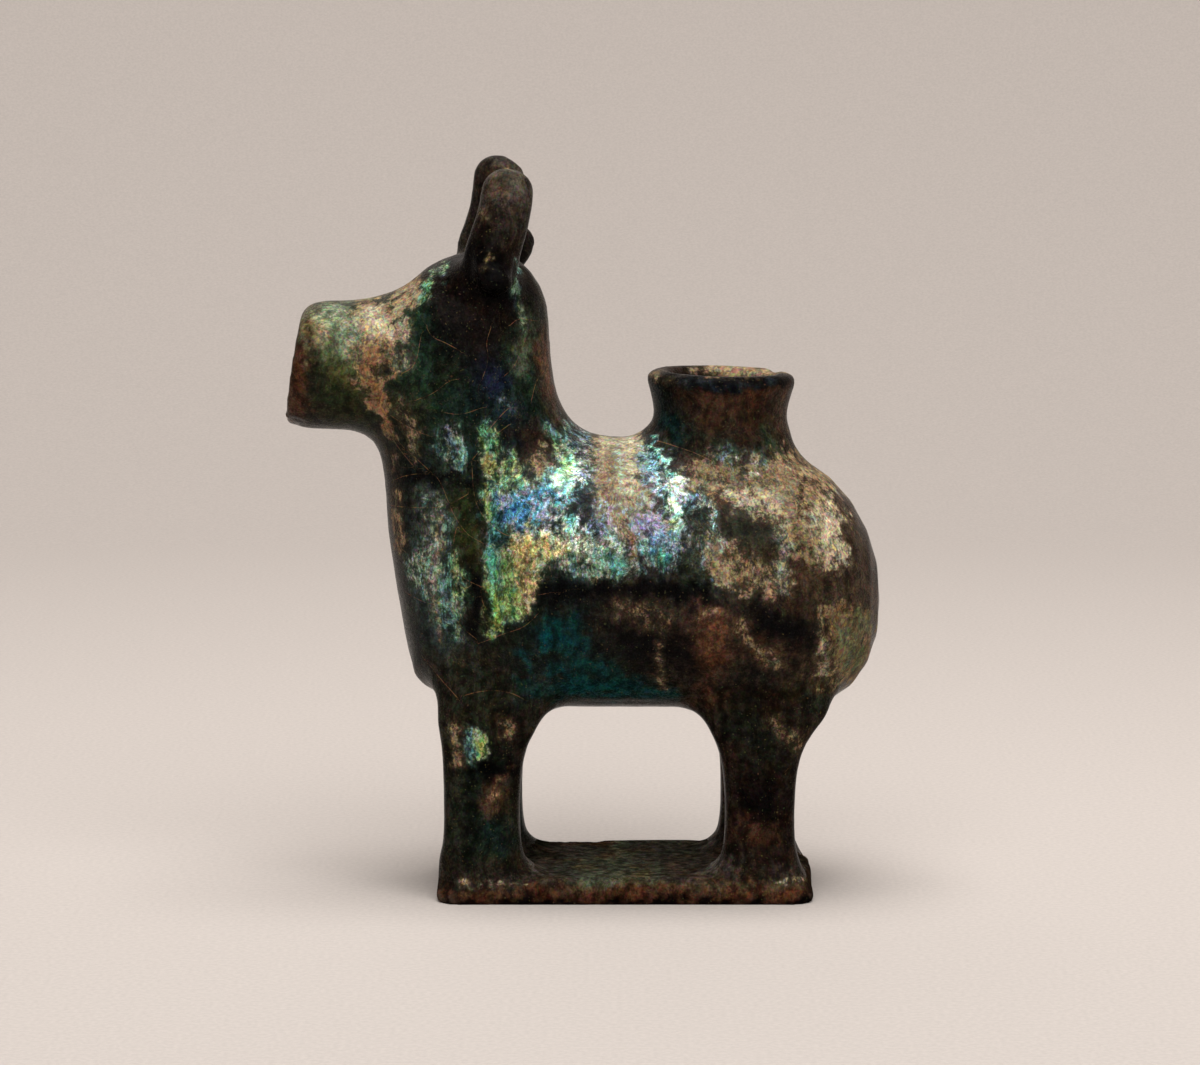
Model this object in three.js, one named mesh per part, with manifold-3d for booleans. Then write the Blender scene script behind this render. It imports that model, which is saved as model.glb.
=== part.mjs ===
// A glazed earthenware pouring vessel in the shape of a standing horned animal.
// Thrown, rolled and cut pieces of clay are luted together: a hollow body barrel with a filling
// collar on its back, a solid chest, a hollow head that opens into the barrel, a muzzle that is
// the spout, two horns, two ears (the left one broken off), four legs and a base slab.
// Millimetres, +Z up. The muzzle points along -X and the animal's left side faces -Y.
// The origin is the centre of the slab's underside.

import * as THREE from 'three';
import { mergeVertices } from 'three/addons/utils/BufferGeometryUtils.js';
import Module from 'manifold-3d';

const wasm = await Module();
wasm.setup();

// Driving dimensions

const lutingGap = 0.3; // clearance between two luted pieces
const wall = 4; // thickness of the hollow pieces
const roundness = 2.25; // exponent of domed ends and of the barrel's section; 2 is an ellipse

const slabThickness = 5.5;
const slabFrontOverhang = 1.6; // past the forelegs' shins
const slabRearOverhang = 4.3; // past the hind legs' shins
const slabSideOverhang = 1.5;
const slabCornerRadius = 4.5;
const slabEdgeRadius = 1.6;

const barrelFrontX = -43;
const barrelLength = 99;
const barrelHeight = 59;
const barrelWidth = 54;
const bellyClearance = 35.2; // from the slab's top to the underside of the belly
const shoulderRound = 28; // length of the rounded front end
const rumpRound = 29; // length of the rounded rear end
const rumpDrop = 6.2; // how far the barrel's middle line sinks towards the rump
const rumpDropLength = 51; // how far from the rump it starts to sink

const chestLead = 10.4; // the chest's front, ahead of the barrel's
const chestTuck = 7.5; // how far the chest's front draws back on its way down
const chestTuckShare = 0.4; // of that, half way down
const chestBedShare = 0.75; // of the barrel's rounded front, how far the chest's sides reach over it
const chestHalfWidth = 20;
const chestFootHalfWidth = 17;
const chestFootRound = 9;
const chestFootRise = 1.5; // the chest's foot above the belly
const jawDrop = 9.5; // the joint of chest and head, below the line of the back
const jawHalfWidth = 17.5;

const neckRise = 41; // from the line of the back to the crown
const neckHalfWidth = 18.5;
const crownRound = 15; // height of the domed crown
const templeHalfWidth = 16; // at the foot of the dome
const browHalfWidth = 13; // at the top of the dome, before it is rounded off
const cheekLead = 12; // the head's front wall, ahead of the barrel's front
const browLead = 2;
const napeSetback = 25.8; // the back of the neck, behind the barrel's front
const napeFlare = 9; // how far the nape runs out over the back at its foot
const napeFlareHeight = 7;
const throatRadius = 9; // of the hole from the barrel into the neck

const muzzleReach = 17.4; // from the head's front wall to the mouth
const muzzleRise = 16.2; // the muzzle's middle above the line of the back
const muzzleRadius = 13.6;
const muzzleFlare = 1.7; // how far the muzzle widens where it meets the head
const muzzleFlareLength = 5;
const mouthSlope = 9; // degrees that the mouth's face leans back
const spoutBoreRadius = 9;
const mouthLipDrop = 0.25; // how far the lip sags, as a share of its way inwards

const collarInset = 35.2; // from the rump to the collar's middle
const collarHeight = 15.2; // above the back at the collar
const collarRimRadius = 16;
const collarWaistRadius = 14.5;
const collarWaistHeight = 6.5;
const collarFootRadius = 18;
const collarBoreRadius = 11.2;
const collarLean = 1.5; // degrees, backwards
const collarLipShare = 0.75; // height of the rounded lip, as a share of half its thickness
const collarFootSweep = 0.6; // how far the curve from foot to waist is drawn in

const foreLegInset = 11.6; // from the barrel's front to the foreleg's middle
const foreLegDepth = 16; // along X, at the shin
const foreHipFlare = 2; // how far a foreleg's top spreads forwards
const hindLegInset = 26.6; // from the rump to the hind leg's middle
const hindLegDepth = 14.6;
const hindHipFlare = 9; // how far a hind leg's top spreads backwards
const legThickness = 13; // along Y
const legSideInset = 12.5; // from the barrel's side to the leg's middle
const footFlare = 3; // how far a foot spreads over the slab
const footSideFlare = 1.4;
const footFlareHeight = 3.2;
const bellyFlare = 7; // how far a leg's top spreads under the belly
const hipFlareHeight = 5;
const hipHeight = 14; // how far a leg's domed top climbs the body's side
const hipDomeShare = 0.75; // of that height, what the dome takes

const hornWidth = 10.6; // along X
const hornThickness = 9.2; // along Y
const hornRise = 17.8; // the left horn's tip above the crown
const hornSetback = 12.2; // the left horn's root, behind the barrel's front
const hornRootSpread = 7; // from the middle plane
const hornSpread = 12.5;
const hornTipSpread = 9.5;
const hornLean = 6; // how far a horn leans back on its way up
const hornCrownLean = 2.1; // of that, where it passes the crown
const hornBowLean = 4.5; // and where it bows out furthest
const hornBowRise = 8; // height of that place above the crown
const rightHornLead = 2.5; // the right horn was set further forward
const rightHornExtraRise = 2.3;

const earSetback = 11.5; // the ear's root, behind the barrel's front
const earDrop = 6.2; // below the crown
const earSpread = 13.5;
const earLength = 16;
const earWidth = 9;
const earThickness = 6;
const earStumpLength = 6.5;
const earSink = 5; // depth of the root in the head
const earRise = 35.6; // degrees that an ear points up from level
const earOut = 40; // degrees that it turns outwards from straight back
const earTwist = 53; // degrees that its flat side tips forwards
const earTipShare = 0.6; // of its length, what its rounded tip takes

// Places that follow from the dimensions

const slabTop = slabThickness;
const bellyHeight = slabTop + bellyClearance;
const barrelMiddle = bellyHeight + barrelHeight / 2;
const backHeight = bellyHeight + barrelHeight;
const jawHeight = backHeight - jawDrop;
const crownHeight = backHeight + neckRise;
const crownFoot = crownHeight - crownRound;
const muzzleHeight = backHeight + muzzleRise;

const rumpX = barrelFrontX + barrelLength;
const chestX = barrelFrontX - chestLead;
const cheekX = barrelFrontX - cheekLead;
const browX = barrelFrontX - browLead;
const napeX = barrelFrontX + napeSetback;
const throatX = (cheekX + napeX) / 2 + throatRadius;
const muzzleTipX = cheekX - muzzleReach;
const collarX = rumpX - collarInset;
const foreLegX = barrelFrontX + foreLegInset;
const hindLegX = rumpX - hindLegInset;
const legSpread = barrelWidth - 2 * legSideInset; // between the middles of a left and a right leg

// Solids

function toSolid(geometry) {
  const bare = geometry.clone();
  bare.deleteAttribute('normal');
  bare.deleteAttribute('uv');
  const merged = mergeVertices(bare, 1e-4);
  return new wasm.Manifold(new wasm.Mesh({
    numProp: 3,
    vertProperties: merged.attributes.position.array,
    triVerts: new Uint32Array(merged.index.array),
  }));
}

function toGeometry(solid) {
  const mesh = solid.getMesh();
  const geometry = new THREE.BufferGeometry();
  geometry.setAttribute('position', new THREE.BufferAttribute(mesh.vertProperties, 3));
  geometry.setIndex(new THREE.BufferAttribute(mesh.triVerts, 1));
  geometry.computeVertexNormals();
  return geometry;
}

// Takes every cutter away from a solid.
function cut(solid, ...cutters) {
  return cutters.reduce((left, cutter) => left.subtract(cutter), solid);
}

// Lofts

function point(x, y, z) {
  return new THREE.Vector3(x, y, z);
}

// A smooth line through (place, value) pairs, as a function of place.
function lineThrough(pairs) {
  const last = pairs.length - 1;
  const slopes = pairs.map((_, i) => {
    const [x0, y0] = pairs[Math.max(i - 1, 0)];
    const [x1, y1] = pairs[Math.min(i + 1, last)];
    return (y1 - y0) / (x1 - x0);
  });
  return (place) => {
    let i = 0;
    while (i < last - 1 && place > pairs[i + 1][0]) i += 1;
    const [x0, y0] = pairs[i];
    const [x1, y1] = pairs[i + 1];
    const t = (place - x0) / (x1 - x0);
    if (t < 0) return y0 + slopes[i] * (place - x0);
    if (t > 1) return y1 + slopes[i + 1] * (place - x1);
    const from = y0 * (1 + 2 * t) + t * (x1 - x0) * slopes[i];
    const to = y1 * (3 - 2 * t) + (t - 1) * (x1 - x0) * slopes[i + 1];
    return from * (1 - t) ** 2 + to * t ** 2;
  };
}

// A ring of points round a centre. The cross product of its two half axes points along the loft;
// squareness 2 is an ellipse and more is boxier.
function ring(centre, halfAcross, halfUp, sides, squareness = 2) {
  const bulge = (share) => Math.sign(share) * Math.abs(share) ** (2 / squareness);
  return Array.from({ length: sides }, (_, i) => {
    const angle = (2 * Math.PI * i) / sides;
    return centre.clone()
      .addScaledVector(halfAcross, bulge(Math.cos(angle)))
      .addScaledVector(halfUp, bulge(Math.sin(angle)));
  });
}

// Skins rings of equal count. The ends are closed on their poles or, with no poles, the last ring
// joins the first.
function skin(rings, poles) {
  const sides = rings[0].length;
  const points = rings.flat();
  const faces = [];
  const bands = poles ? rings.length - 1 : rings.length;
  for (let i = 0; i < bands; i += 1) {
    const low = i * sides;
    const high = ((i + 1) % rings.length) * sides;
    for (let j = 0; j < sides; j += 1) {
      const k = (j + 1) % sides;
      faces.push(low + j, low + k, high + k, low + j, high + k, high + j);
    }
  }
  if (poles) {
    const start = points.push(poles[0]) - 1;
    const end = points.push(poles[1]) - 1;
    const last = (rings.length - 1) * sides;
    for (let j = 0; j < sides; j += 1) {
      const k = (j + 1) % sides;
      faces.push(start, k, j, end, last + j, last + k);
    }
  }
  const geometry = new THREE.BufferGeometry();
  geometry.setFromPoints(points);
  geometry.setIndex(faces);
  return toSolid(geometry);
}

// Places along a loft with the share of the full section there: domed ends shrink to their poles.
function stations(from, to, domeFrom, domeTo, steps, domeSteps) {
  const domed = (depth) => {
    const list = [];
    for (let i = 1; i < domeSteps && depth > 0; i += 1) {
      const u = Math.cos((Math.PI / 2) * (i / domeSteps));
      list.push({ inset: depth * (1 - u), share: (1 - u ** roundness) ** (1 / roundness) });
    }
    return list;
  };
  const list = domed(domeFrom).map(({ inset, share }) => ({ place: from + inset, share }));
  for (let i = 0; i <= steps; i += 1) {
    list.push({ place: THREE.MathUtils.lerp(from + domeFrom, to - domeTo, i / steps), share: 1 });
  }
  const end = domed(domeTo).reverse();
  return list.concat(end.map(({ inset, share }) => ({ place: to - inset, share })));
}

// An upright loft whose sections run from a front to a back line and have a half width.
function uprightLoft(lines, grow, { sides, steps, domeSteps = 6, squareness = 2 }) {
  const { from, to, domeFrom = 0, domeTo = 0, front, back, halfWidth, middleY = 0 } = lines;
  const growFrom = domeFrom > 0 ? grow : 0;
  const growTo = domeTo > 0 ? grow : 0;
  const low = from - growFrom;
  const high = to + growTo;
  const list = stations(low, high, domeFrom + growFrom, domeTo + growTo, steps, domeSteps);
  const middle = (z) => point((front(z) + back(z)) / 2, middleY, z);
  const rings = list.map(({ place, share }) => ring(
    middle(place),
    point(((back(place) - front(place)) / 2 + grow) * share, 0, 0),
    point(0, (halfWidth(place) + grow) * share, 0),
    sides, squareness));
  return skin(rings, [middle(low), middle(high)]);
}

// The body barrel lies along X. Its middle line sinks towards the rump.

function barrelLine(x) {
  const share = Math.max(0, 1 - (rumpX - x) / rumpDropLength);
  return barrelMiddle - rumpDrop * share * share;
}

function barrelForm(grow, sides, steps) {
  const low = barrelFrontX - grow;
  const high = rumpX + grow;
  const list = stations(low, high, shoulderRound + grow, rumpRound + grow, steps, 7);
  const middle = (x) => point(x, 0, barrelLine(x));
  const rings = list.map(({ place, share }) => ring(
    middle(place),
    point(0, (barrelWidth / 2 + grow) * share, 0),
    point(0, 0, (barrelHeight / 2 + grow) * share),
    sides, roundness));
  return skin(rings, [middle(low), middle(high)]);
}

function throatBore() {
  const bore = new THREE.CylinderGeometry(throatRadius, throatRadius, barrelHeight, 24);
  return toSolid(bore.rotateX(Math.PI / 2).translate(throatX, 0, backHeight));
}

// The head and neck stand on the barrel's front and on the chest. The nape sweeps out at its foot.

const napeReach = 1.6; // the most that the nape's sweep may grow inside the barrel, in flares

const headLines = {
  from: jawHeight,
  to: crownHeight,
  domeTo: crownRound,
  front: lineThrough([
    [jawHeight, chestX],
    [muzzleHeight, cheekX],
    [crownFoot, cheekX],
    [crownHeight, browX],
  ]),
  back: (z) => napeX + napeFlare * Math.min(napeReach, Math.exp((backHeight - z) / napeFlareHeight)),
  halfWidth: lineThrough([
    [jawHeight, jawHalfWidth],
    [(jawHeight + crownFoot) / 2, neckHalfWidth],
    [crownFoot, templeHalfWidth],
    [crownHeight, browHalfWidth],
  ]),
};

const headGrid = { sides: 28, steps: 9 };
const headHollowGrid = { sides: 20, steps: 6, domeSteps: 4 };

// The chest hangs under the jaw, in front of the barrel.

const chestFoot = bellyHeight + chestFootRise;
const chestMiddle = (chestFoot + jawHeight) / 2;

const chestLines = {
  from: chestFoot,
  to: jawHeight - lutingGap,
  domeFrom: chestFootRound,
  front: lineThrough([
    [chestFoot, chestX + chestTuck],
    [chestMiddle, chestX + chestTuck * chestTuckShare],
    [jawHeight, chestX],
  ]),
  back: () => barrelFrontX + shoulderRound * chestBedShare,
  halfWidth: lineThrough([
    [chestFoot, chestFootHalfWidth],
    [chestMiddle, chestHalfWidth],
    [jawHeight, jawHalfWidth],
  ]),
};

const chestGrid = { sides: 26, steps: 6, domeSteps: 5 };

// Room that a piece leaves for its neighbours

const barrelRoom = barrelForm(lutingGap, 40, 10);
const headRoom = uprightLoft(headLines, lutingGap, headGrid);
const chestRoom = uprightLoft(chestLines, lutingGap, chestGrid);

// The collar is turned round an axis that leans back a little, on top of the barrel.

const collarBase = barrelLine(collarX) + barrelHeight / 2;
const collarSides = 36;

function onCollarAxis(geometry) {
  geometry.rotateX(Math.PI / 2).rotateY(THREE.MathUtils.degToRad(collarLean));
  return toSolid(geometry.translate(collarX, 0, collarBase));
}

function collarForm() {
  const at = (radius, height) => new THREE.Vector2(radius, height);
  const lipHalf = (collarRimRadius - collarBoreRadius) / 2;
  const lipRise = lipHalf * collarLipShare;
  const lipFoot = collarHeight - lipRise;
  const sunk = -barrelHeight / 6; // deep enough to meet the barrel's sides
  const outside = new THREE.SplineCurve([
    at(collarFootRadius, sunk),
    at(collarFootRadius - collarFootSweep, -collarWaistHeight / 2),
    at((collarFootRadius + collarWaistRadius) / 2 - collarFootSweep, collarWaistHeight / 4),
    at(collarWaistRadius, collarWaistHeight),
    at(collarRimRadius, lipFoot),
  ]).getPoints(10);
  const lipSteps = 6;
  const lip = Array.from({ length: lipSteps }, (_, i) => {
    const angle = (Math.PI * (i + 1)) / lipSteps;
    const radius = collarRimRadius - lipHalf + lipHalf * Math.cos(angle);
    return at(radius, lipFoot + lipRise * Math.sin(angle));
  });
  const profile = [...outside, ...lip, at(collarBoreRadius, sunk), outside[0]];
  return onCollarAxis(new THREE.LatheGeometry(profile, collarSides));
}

function collarBore() {
  const length = barrelHeight;
  return onCollarAxis(
    new THREE.CylinderGeometry(collarBoreRadius, collarBoreRadius, length, collarSides));
}

// The muzzle is a short tube along -X that flares into the head. Its mouth leans back.

const muzzleSides = 28;
const muzzleRootX = (cheekX + napeX) / 2; // inside the head, where the tube is cut off at the wall

function muzzleRing(x, radius, drop = 0) {
  const share = THREE.MathUtils.clamp((cheekX - x) / muzzleReach, 0, 1);
  const lean = Math.tan(THREE.MathUtils.degToRad(mouthSlope)) * share * radius;
  return ring(point(x, 0, muzzleHeight - drop), point(lean, 0, radius), point(0, radius, 0),
    muzzleSides);
}

function muzzleForm() {
  const lipHalf = (muzzleRadius - spoutBoreRadius) / 2;
  const lipDepth = 2 * lipHalf;
  const lipX = muzzleTipX + lipDepth;
  const flareX = cheekX + lipHalf;
  const steps = 8;
  const outside = Array.from({ length: steps + 1 }, (_, i) => {
    const x = THREE.MathUtils.lerp(flareX, lipX, i / steps);
    return muzzleRing(x, muzzleRadius + muzzleFlare * Math.exp((x - cheekX) / muzzleFlareLength));
  });
  const lipSteps = 5;
  const lip = Array.from({ length: lipSteps }, (_, i) => {
    const angle = (Math.PI * (i + 1)) / lipSteps;
    const inwards = lipHalf * (1 - Math.cos(angle));
    const x = lipX - lipDepth * Math.sin(angle);
    return muzzleRing(x, muzzleRadius - inwards, inwards * mouthLipDrop);
  });
  const root = [spoutBoreRadius, muzzleRadius].map((radius) => muzzleRing(muzzleRootX, radius));
  return skin([...outside, ...lip, ...root]);
}

function spoutBore() {
  const ends = [muzzleRootX, muzzleTipX];
  return skin(ends.map((x) => muzzleRing(x, spoutBoreRadius)),
    ends.map((x) => point(x, 0, muzzleHeight)));
}

// Legs are square-sided columns that spread over the slab and under the body.

const legFoot = slabTop + lutingGap;
const legGrid = { sides: 20, steps: 12, domeSteps: 4, squareness: 3 };

function legForm(middleX, depth, outerHipFlare, side) {
  const foot = (z) => Math.exp((legFoot - z) / footFlareHeight);
  const hip = (z) => Math.min(1, Math.exp((z - bellyHeight) / hipFlareHeight));
  const inner = (z) => depth / 2 + footFlare * foot(z) + bellyFlare * hip(z);
  const outer = (z) => depth / 2 + footFlare * foot(z) + outerHipFlare * hip(z);
  const leadsForward = middleX < collarX;
  const loft = uprightLoft({
    from: legFoot,
    to: bellyHeight + hipHeight,
    domeTo: hipHeight * hipDomeShare,
    front: (z) => middleX - (leadsForward ? outer(z) : inner(z)),
    back: (z) => middleX + (leadsForward ? inner(z) : outer(z)),
    halfWidth: (z) => legThickness / 2 + footSideFlare * foot(z),
    middleY: (side * legSpread) / 2,
  }, 0, legGrid);
  return cut(loft, barrelRoom, chestRoom);
}

// Horns rise beside the crown, bow outwards and end bluntly.

const hornRootGrowth = 0.35; // a horn's extra width at its root

function hornForm({ side, lead, extraRise }, grow) {
  const x = barrelFrontX + hornSetback - lead;
  const half = hornWidth / 2 + grow;
  const path = new THREE.CatmullRomCurve3([
    point(x, side * hornRootSpread, crownFoot + crownRound / 4),
    point(x + hornCrownLean, side * hornSpread, crownHeight),
    point(x + hornBowLean, side * hornSpread, crownHeight + hornBowRise),
    point(x + hornLean, side * hornTipSpread, crownHeight + hornRise + extraRise + grow),
  ]);
  const length = path.getLength();
  const rings = stations(0, length, 0, half, 8, 6).map(({ place, share }) => {
    const t = place / length;
    const along = path.getTangentAt(t);
    const across = point(1, 0, 0).addScaledVector(along, -along.x).normalize();
    const up = along.cross(across);
    const size = share * (1 + hornRootGrowth * (1 - t) ** 3);
    return ring(path.getPointAt(t), across.multiplyScalar(half * size),
      up.multiplyScalar((hornThickness / 2 + grow) * size), 16);
  });
  return skin(rings, [path.getPointAt(0), path.getPointAt(1)]);
}

const leftHorn = { side: -1, lead: 0, extraRise: 0 };
const rightHorn = { side: 1, lead: rightHornLead, extraRise: rightHornExtraRise };

// Ears point back, out and up beside the horns. A broken one ends flat.

function earForm(side, length, broken) {
  const { degToRad } = THREE.MathUtils;
  const along = point(1, 0, 0)
    .applyAxisAngle(point(0, -1, 0), degToRad(earRise))
    .applyAxisAngle(point(0, 0, side), degToRad(earOut));
  const across = point(Math.cos(degToRad(earTwist)), 0, -Math.sin(degToRad(earTwist)))
    .projectOnPlane(along).normalize();
  const up = along.clone().cross(across);
  const root = point(barrelFrontX + earSetback, side * earSpread, crownHeight - earDrop);
  const onAxis = (place) => root.clone().addScaledVector(along, place);
  const tipRound = broken ? 0 : length * earTipShare;
  const rings = stations(-earSink, length, 0, tipRound, 4, 5).map(({ place, share }) => ring(
    onAxis(place),
    across.clone().multiplyScalar((earWidth / 2) * share),
    up.clone().multiplyScalar((earThickness / 2) * share), 14));
  return skin(rings, [onAxis(-earSink), onAxis(length)]);
}

// The slab is a cut plate with softened edges, flat underneath.

function slabForm() {
  const front = foreLegX - foreLegDepth / 2 - slabFrontOverhang + slabEdgeRadius;
  const rear = hindLegX + hindLegDepth / 2 + slabRearOverhang - slabEdgeRadius;
  const side = (legSpread + legThickness) / 2 + slabSideOverhang - slabEdgeRadius;
  const r = slabCornerRadius - slabEdgeRadius;
  const outline = new THREE.Shape();
  outline.absarc(rear - r, -side + r, r, -Math.PI / 2, 0);
  outline.absarc(rear - r, side - r, r, 0, Math.PI / 2);
  outline.absarc(front + r, side - r, r, Math.PI / 2, Math.PI);
  outline.absarc(front + r, -side + r, r, Math.PI, 1.5 * Math.PI);
  outline.closePath();
  const geometry = new THREE.ExtrudeGeometry(outline, {
    depth: slabThickness - 2 * slabEdgeRadius,
    bevelThickness: slabEdgeRadius,
    bevelSize: slabEdgeRadius,
    bevelSegments: 3,
    curveSegments: 5,
  });
  return toSolid(geometry.translate(0, 0, slabEdgeRadius));
}

// Pieces

const barrelHollow = barrelForm(-wall, 28, 6);
const headHollow = uprightLoft({ ...headLines, from: jawHeight - wall }, -wall, headHollowGrid);

const solids = {
  base_slab: slabForm(),
  left_foreleg: legForm(foreLegX, foreLegDepth, foreHipFlare, -1),
  right_foreleg: legForm(foreLegX, foreLegDepth, foreHipFlare, 1),
  left_hind_leg: legForm(hindLegX, hindLegDepth, hindHipFlare, -1),
  right_hind_leg: legForm(hindLegX, hindLegDepth, hindHipFlare, 1),
  body_barrel: cut(barrelForm(0, 36, 8), barrelHollow, collarBore(), throatBore()),
  chest: cut(uprightLoft(chestLines, 0, chestGrid), barrelRoom),
  head: cut(uprightLoft(headLines, 0, headGrid), barrelRoom, headHollow, spoutBore()),
  muzzle_spout: cut(muzzleForm(), headRoom, chestRoom),
  filler_collar: cut(collarForm(), barrelRoom),
  left_horn: cut(hornForm(leftHorn, 0), headRoom),
  right_horn: cut(hornForm(rightHorn, 0), headRoom),
  left_ear_stump: cut(earForm(-1, earStumpLength, true), headRoom, hornForm(leftHorn, lutingGap)),
  right_ear: cut(earForm(1, earLength, false), headRoom, hornForm(rightHorn, lutingGap)),
};

// Finishes

const ironGlaze = new THREE.MeshStandardMaterial({ color: 0x3b332a, roughness: 0.6, metalness: 0 });
const greenGlaze = new THREE.MeshStandardMaterial({ color: 0x2c4038, roughness: 0.35, metalness: 0 });
const buffCrust = new THREE.MeshStandardMaterial({ color: 0x6f6350, roughness: 0.5, metalness: 0 });

const finishes = {
  body_barrel: buffCrust,
  chest: greenGlaze,
  head: greenGlaze,
  muzzle_spout: greenGlaze,
};

const vessel = new THREE.Group();
for (const [name, solid] of Object.entries(solids)) {
  const piece = new THREE.Mesh(toGeometry(solid), finishes[name] ?? ironGlaze);
  piece.name = name;
  vessel.add(piece);
}

export default vessel;
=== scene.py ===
import math
import time

import bmesh
import bpy
import numpy as np
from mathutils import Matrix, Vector, noise
from mathutils.kdtree import KDTree


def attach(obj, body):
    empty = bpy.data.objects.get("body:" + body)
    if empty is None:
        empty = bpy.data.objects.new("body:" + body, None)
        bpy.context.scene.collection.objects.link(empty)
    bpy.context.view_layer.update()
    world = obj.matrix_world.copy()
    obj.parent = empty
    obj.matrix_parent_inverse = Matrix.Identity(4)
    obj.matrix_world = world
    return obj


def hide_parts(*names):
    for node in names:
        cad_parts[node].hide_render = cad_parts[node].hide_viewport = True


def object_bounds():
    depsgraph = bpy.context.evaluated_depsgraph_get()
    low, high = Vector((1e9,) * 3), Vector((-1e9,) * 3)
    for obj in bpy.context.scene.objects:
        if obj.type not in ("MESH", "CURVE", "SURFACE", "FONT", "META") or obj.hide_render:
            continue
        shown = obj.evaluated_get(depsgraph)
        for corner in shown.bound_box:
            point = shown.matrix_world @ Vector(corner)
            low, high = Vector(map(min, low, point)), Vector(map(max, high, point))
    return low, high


started = time.time()
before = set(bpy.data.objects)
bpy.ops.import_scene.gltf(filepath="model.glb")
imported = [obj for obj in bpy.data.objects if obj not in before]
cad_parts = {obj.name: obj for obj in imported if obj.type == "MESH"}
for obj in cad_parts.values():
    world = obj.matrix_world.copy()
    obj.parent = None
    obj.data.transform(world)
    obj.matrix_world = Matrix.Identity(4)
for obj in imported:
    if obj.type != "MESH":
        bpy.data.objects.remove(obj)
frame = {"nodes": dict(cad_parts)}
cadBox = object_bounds()
nodes = frame["nodes"]
mm = 0.001


def report(words):
    print(f"{time.time() - started:6.1f} s  {words}")


# node tree helpers

def addNode(tree, kind, sockets=None, **settings):
    node = tree.nodes.new(kind)
    for key, value in settings.items():
        setattr(node, key, value)
    for key, value in (sockets or {}).items():
        if isinstance(value, bpy.types.NodeSocket):
            tree.links.new(value, node.inputs[key])
        else:
            node.inputs[key].default_value = value
    return node


def calc(tree, operation, *terms, clamp=False):
    node = addNode(tree, "ShaderNodeMath", dict(enumerate(terms)), operation=operation, use_clamp=clamp)
    return node.outputs[0]


def product(tree, *shares):
    total = shares[0]
    for share in shares[1:]:
        total = calc(tree, "MULTIPLY", total, share)
    return total


def plus(tree, total, value, weight, clamp=False):  # total and a weighted value
    return calc(tree, "ADD", total, product(tree, value, weight), clamp=clamp)


def vectorCalc(tree, operation, *terms):
    node = addNode(tree, "ShaderNodeVectorMath", dict(enumerate(terms)), operation=operation)
    return node.outputs["Vector"]


def scaled(tree, vector, factor):
    node = addNode(tree, "ShaderNodeVectorMath", {0: vector, "Scale": factor}, operation="SCALE")
    return node.outputs["Vector"]


def newGeometryTree(name, sizes):  # sizes: (name, default) of the number inputs
    tree = bpy.data.node_groups.new(name, "GeometryNodeTree")
    tree.interface.new_socket("Geometry", in_out="INPUT", socket_type="NodeSocketGeometry")
    tree.interface.new_socket("Geometry", in_out="OUTPUT", socket_type="NodeSocketGeometry")
    for label, value in sizes:
        socket = tree.interface.new_socket(label, in_out="INPUT", socket_type="NodeSocketFloat")
        socket.default_value = value
    start = addNode(tree, "NodeGroupInput")
    return tree, start.outputs


def endTree(tree, geometry, material):
    realized = addNode(tree, "GeometryNodeRealizeInstances", {"Geometry": geometry}).outputs[0]
    coated = addNode(tree, "GeometryNodeSetMaterial", {"Geometry": realized, "Material": material}).outputs[0]
    addNode(tree, "NodeGroupOutput", {"Geometry": coated})


def runTree(obj, tree, sizes):
    modifier = obj.modifiers.new(tree.name, "NODES")
    modifier.node_group = tree
    for item in tree.interface.items_tree:
        if item.in_out == "INPUT" and item.name in sizes:
            modifier[item.identifier] = sizes[item.name]
    takeEvaluated(obj)


# mesh helpers

def takeEvaluated(obj):  # the modifiers' result becomes the object's plain mesh
    bpy.context.view_layer.update()
    graph = bpy.context.evaluated_depsgraph_get()
    mesh = bpy.data.meshes.new_from_object(obj.evaluated_get(graph))
    old = obj.data
    obj.modifiers.clear()
    obj.data = mesh
    bpy.data.meshes.remove(old)


def newObject(name, mesh):
    obj = bpy.data.objects.new(name, mesh)
    bpy.context.scene.collection.objects.link(obj)
    return obj


def vectorsOf(source, key):
    flat = np.empty(len(source) * 3, np.float32)
    source.foreach_get(key, flat)
    return flat.reshape(-1, 3).astype(float)


def coordinates(mesh):
    return vectorsOf(mesh.vertices, "co")


def normals(mesh):
    return vectorsOf(mesh.vertex_normals, "vector")


def setCoordinates(mesh, places):
    mesh.vertices.foreach_set("co", places.astype(np.float32).ravel())
    mesh.update()


def keepValue(mesh, name, values):
    layer = mesh.attributes.new(name, "FLOAT", "POINT")
    layer.data.foreach_set("value", values.astype(np.float32))


def smoothStep(low, high, value):
    share = np.clip((value - low) / (high - low), 0, 1)
    return share * share * (3 - 2 * share)


# tones, as red, green and blue of 255

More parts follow.
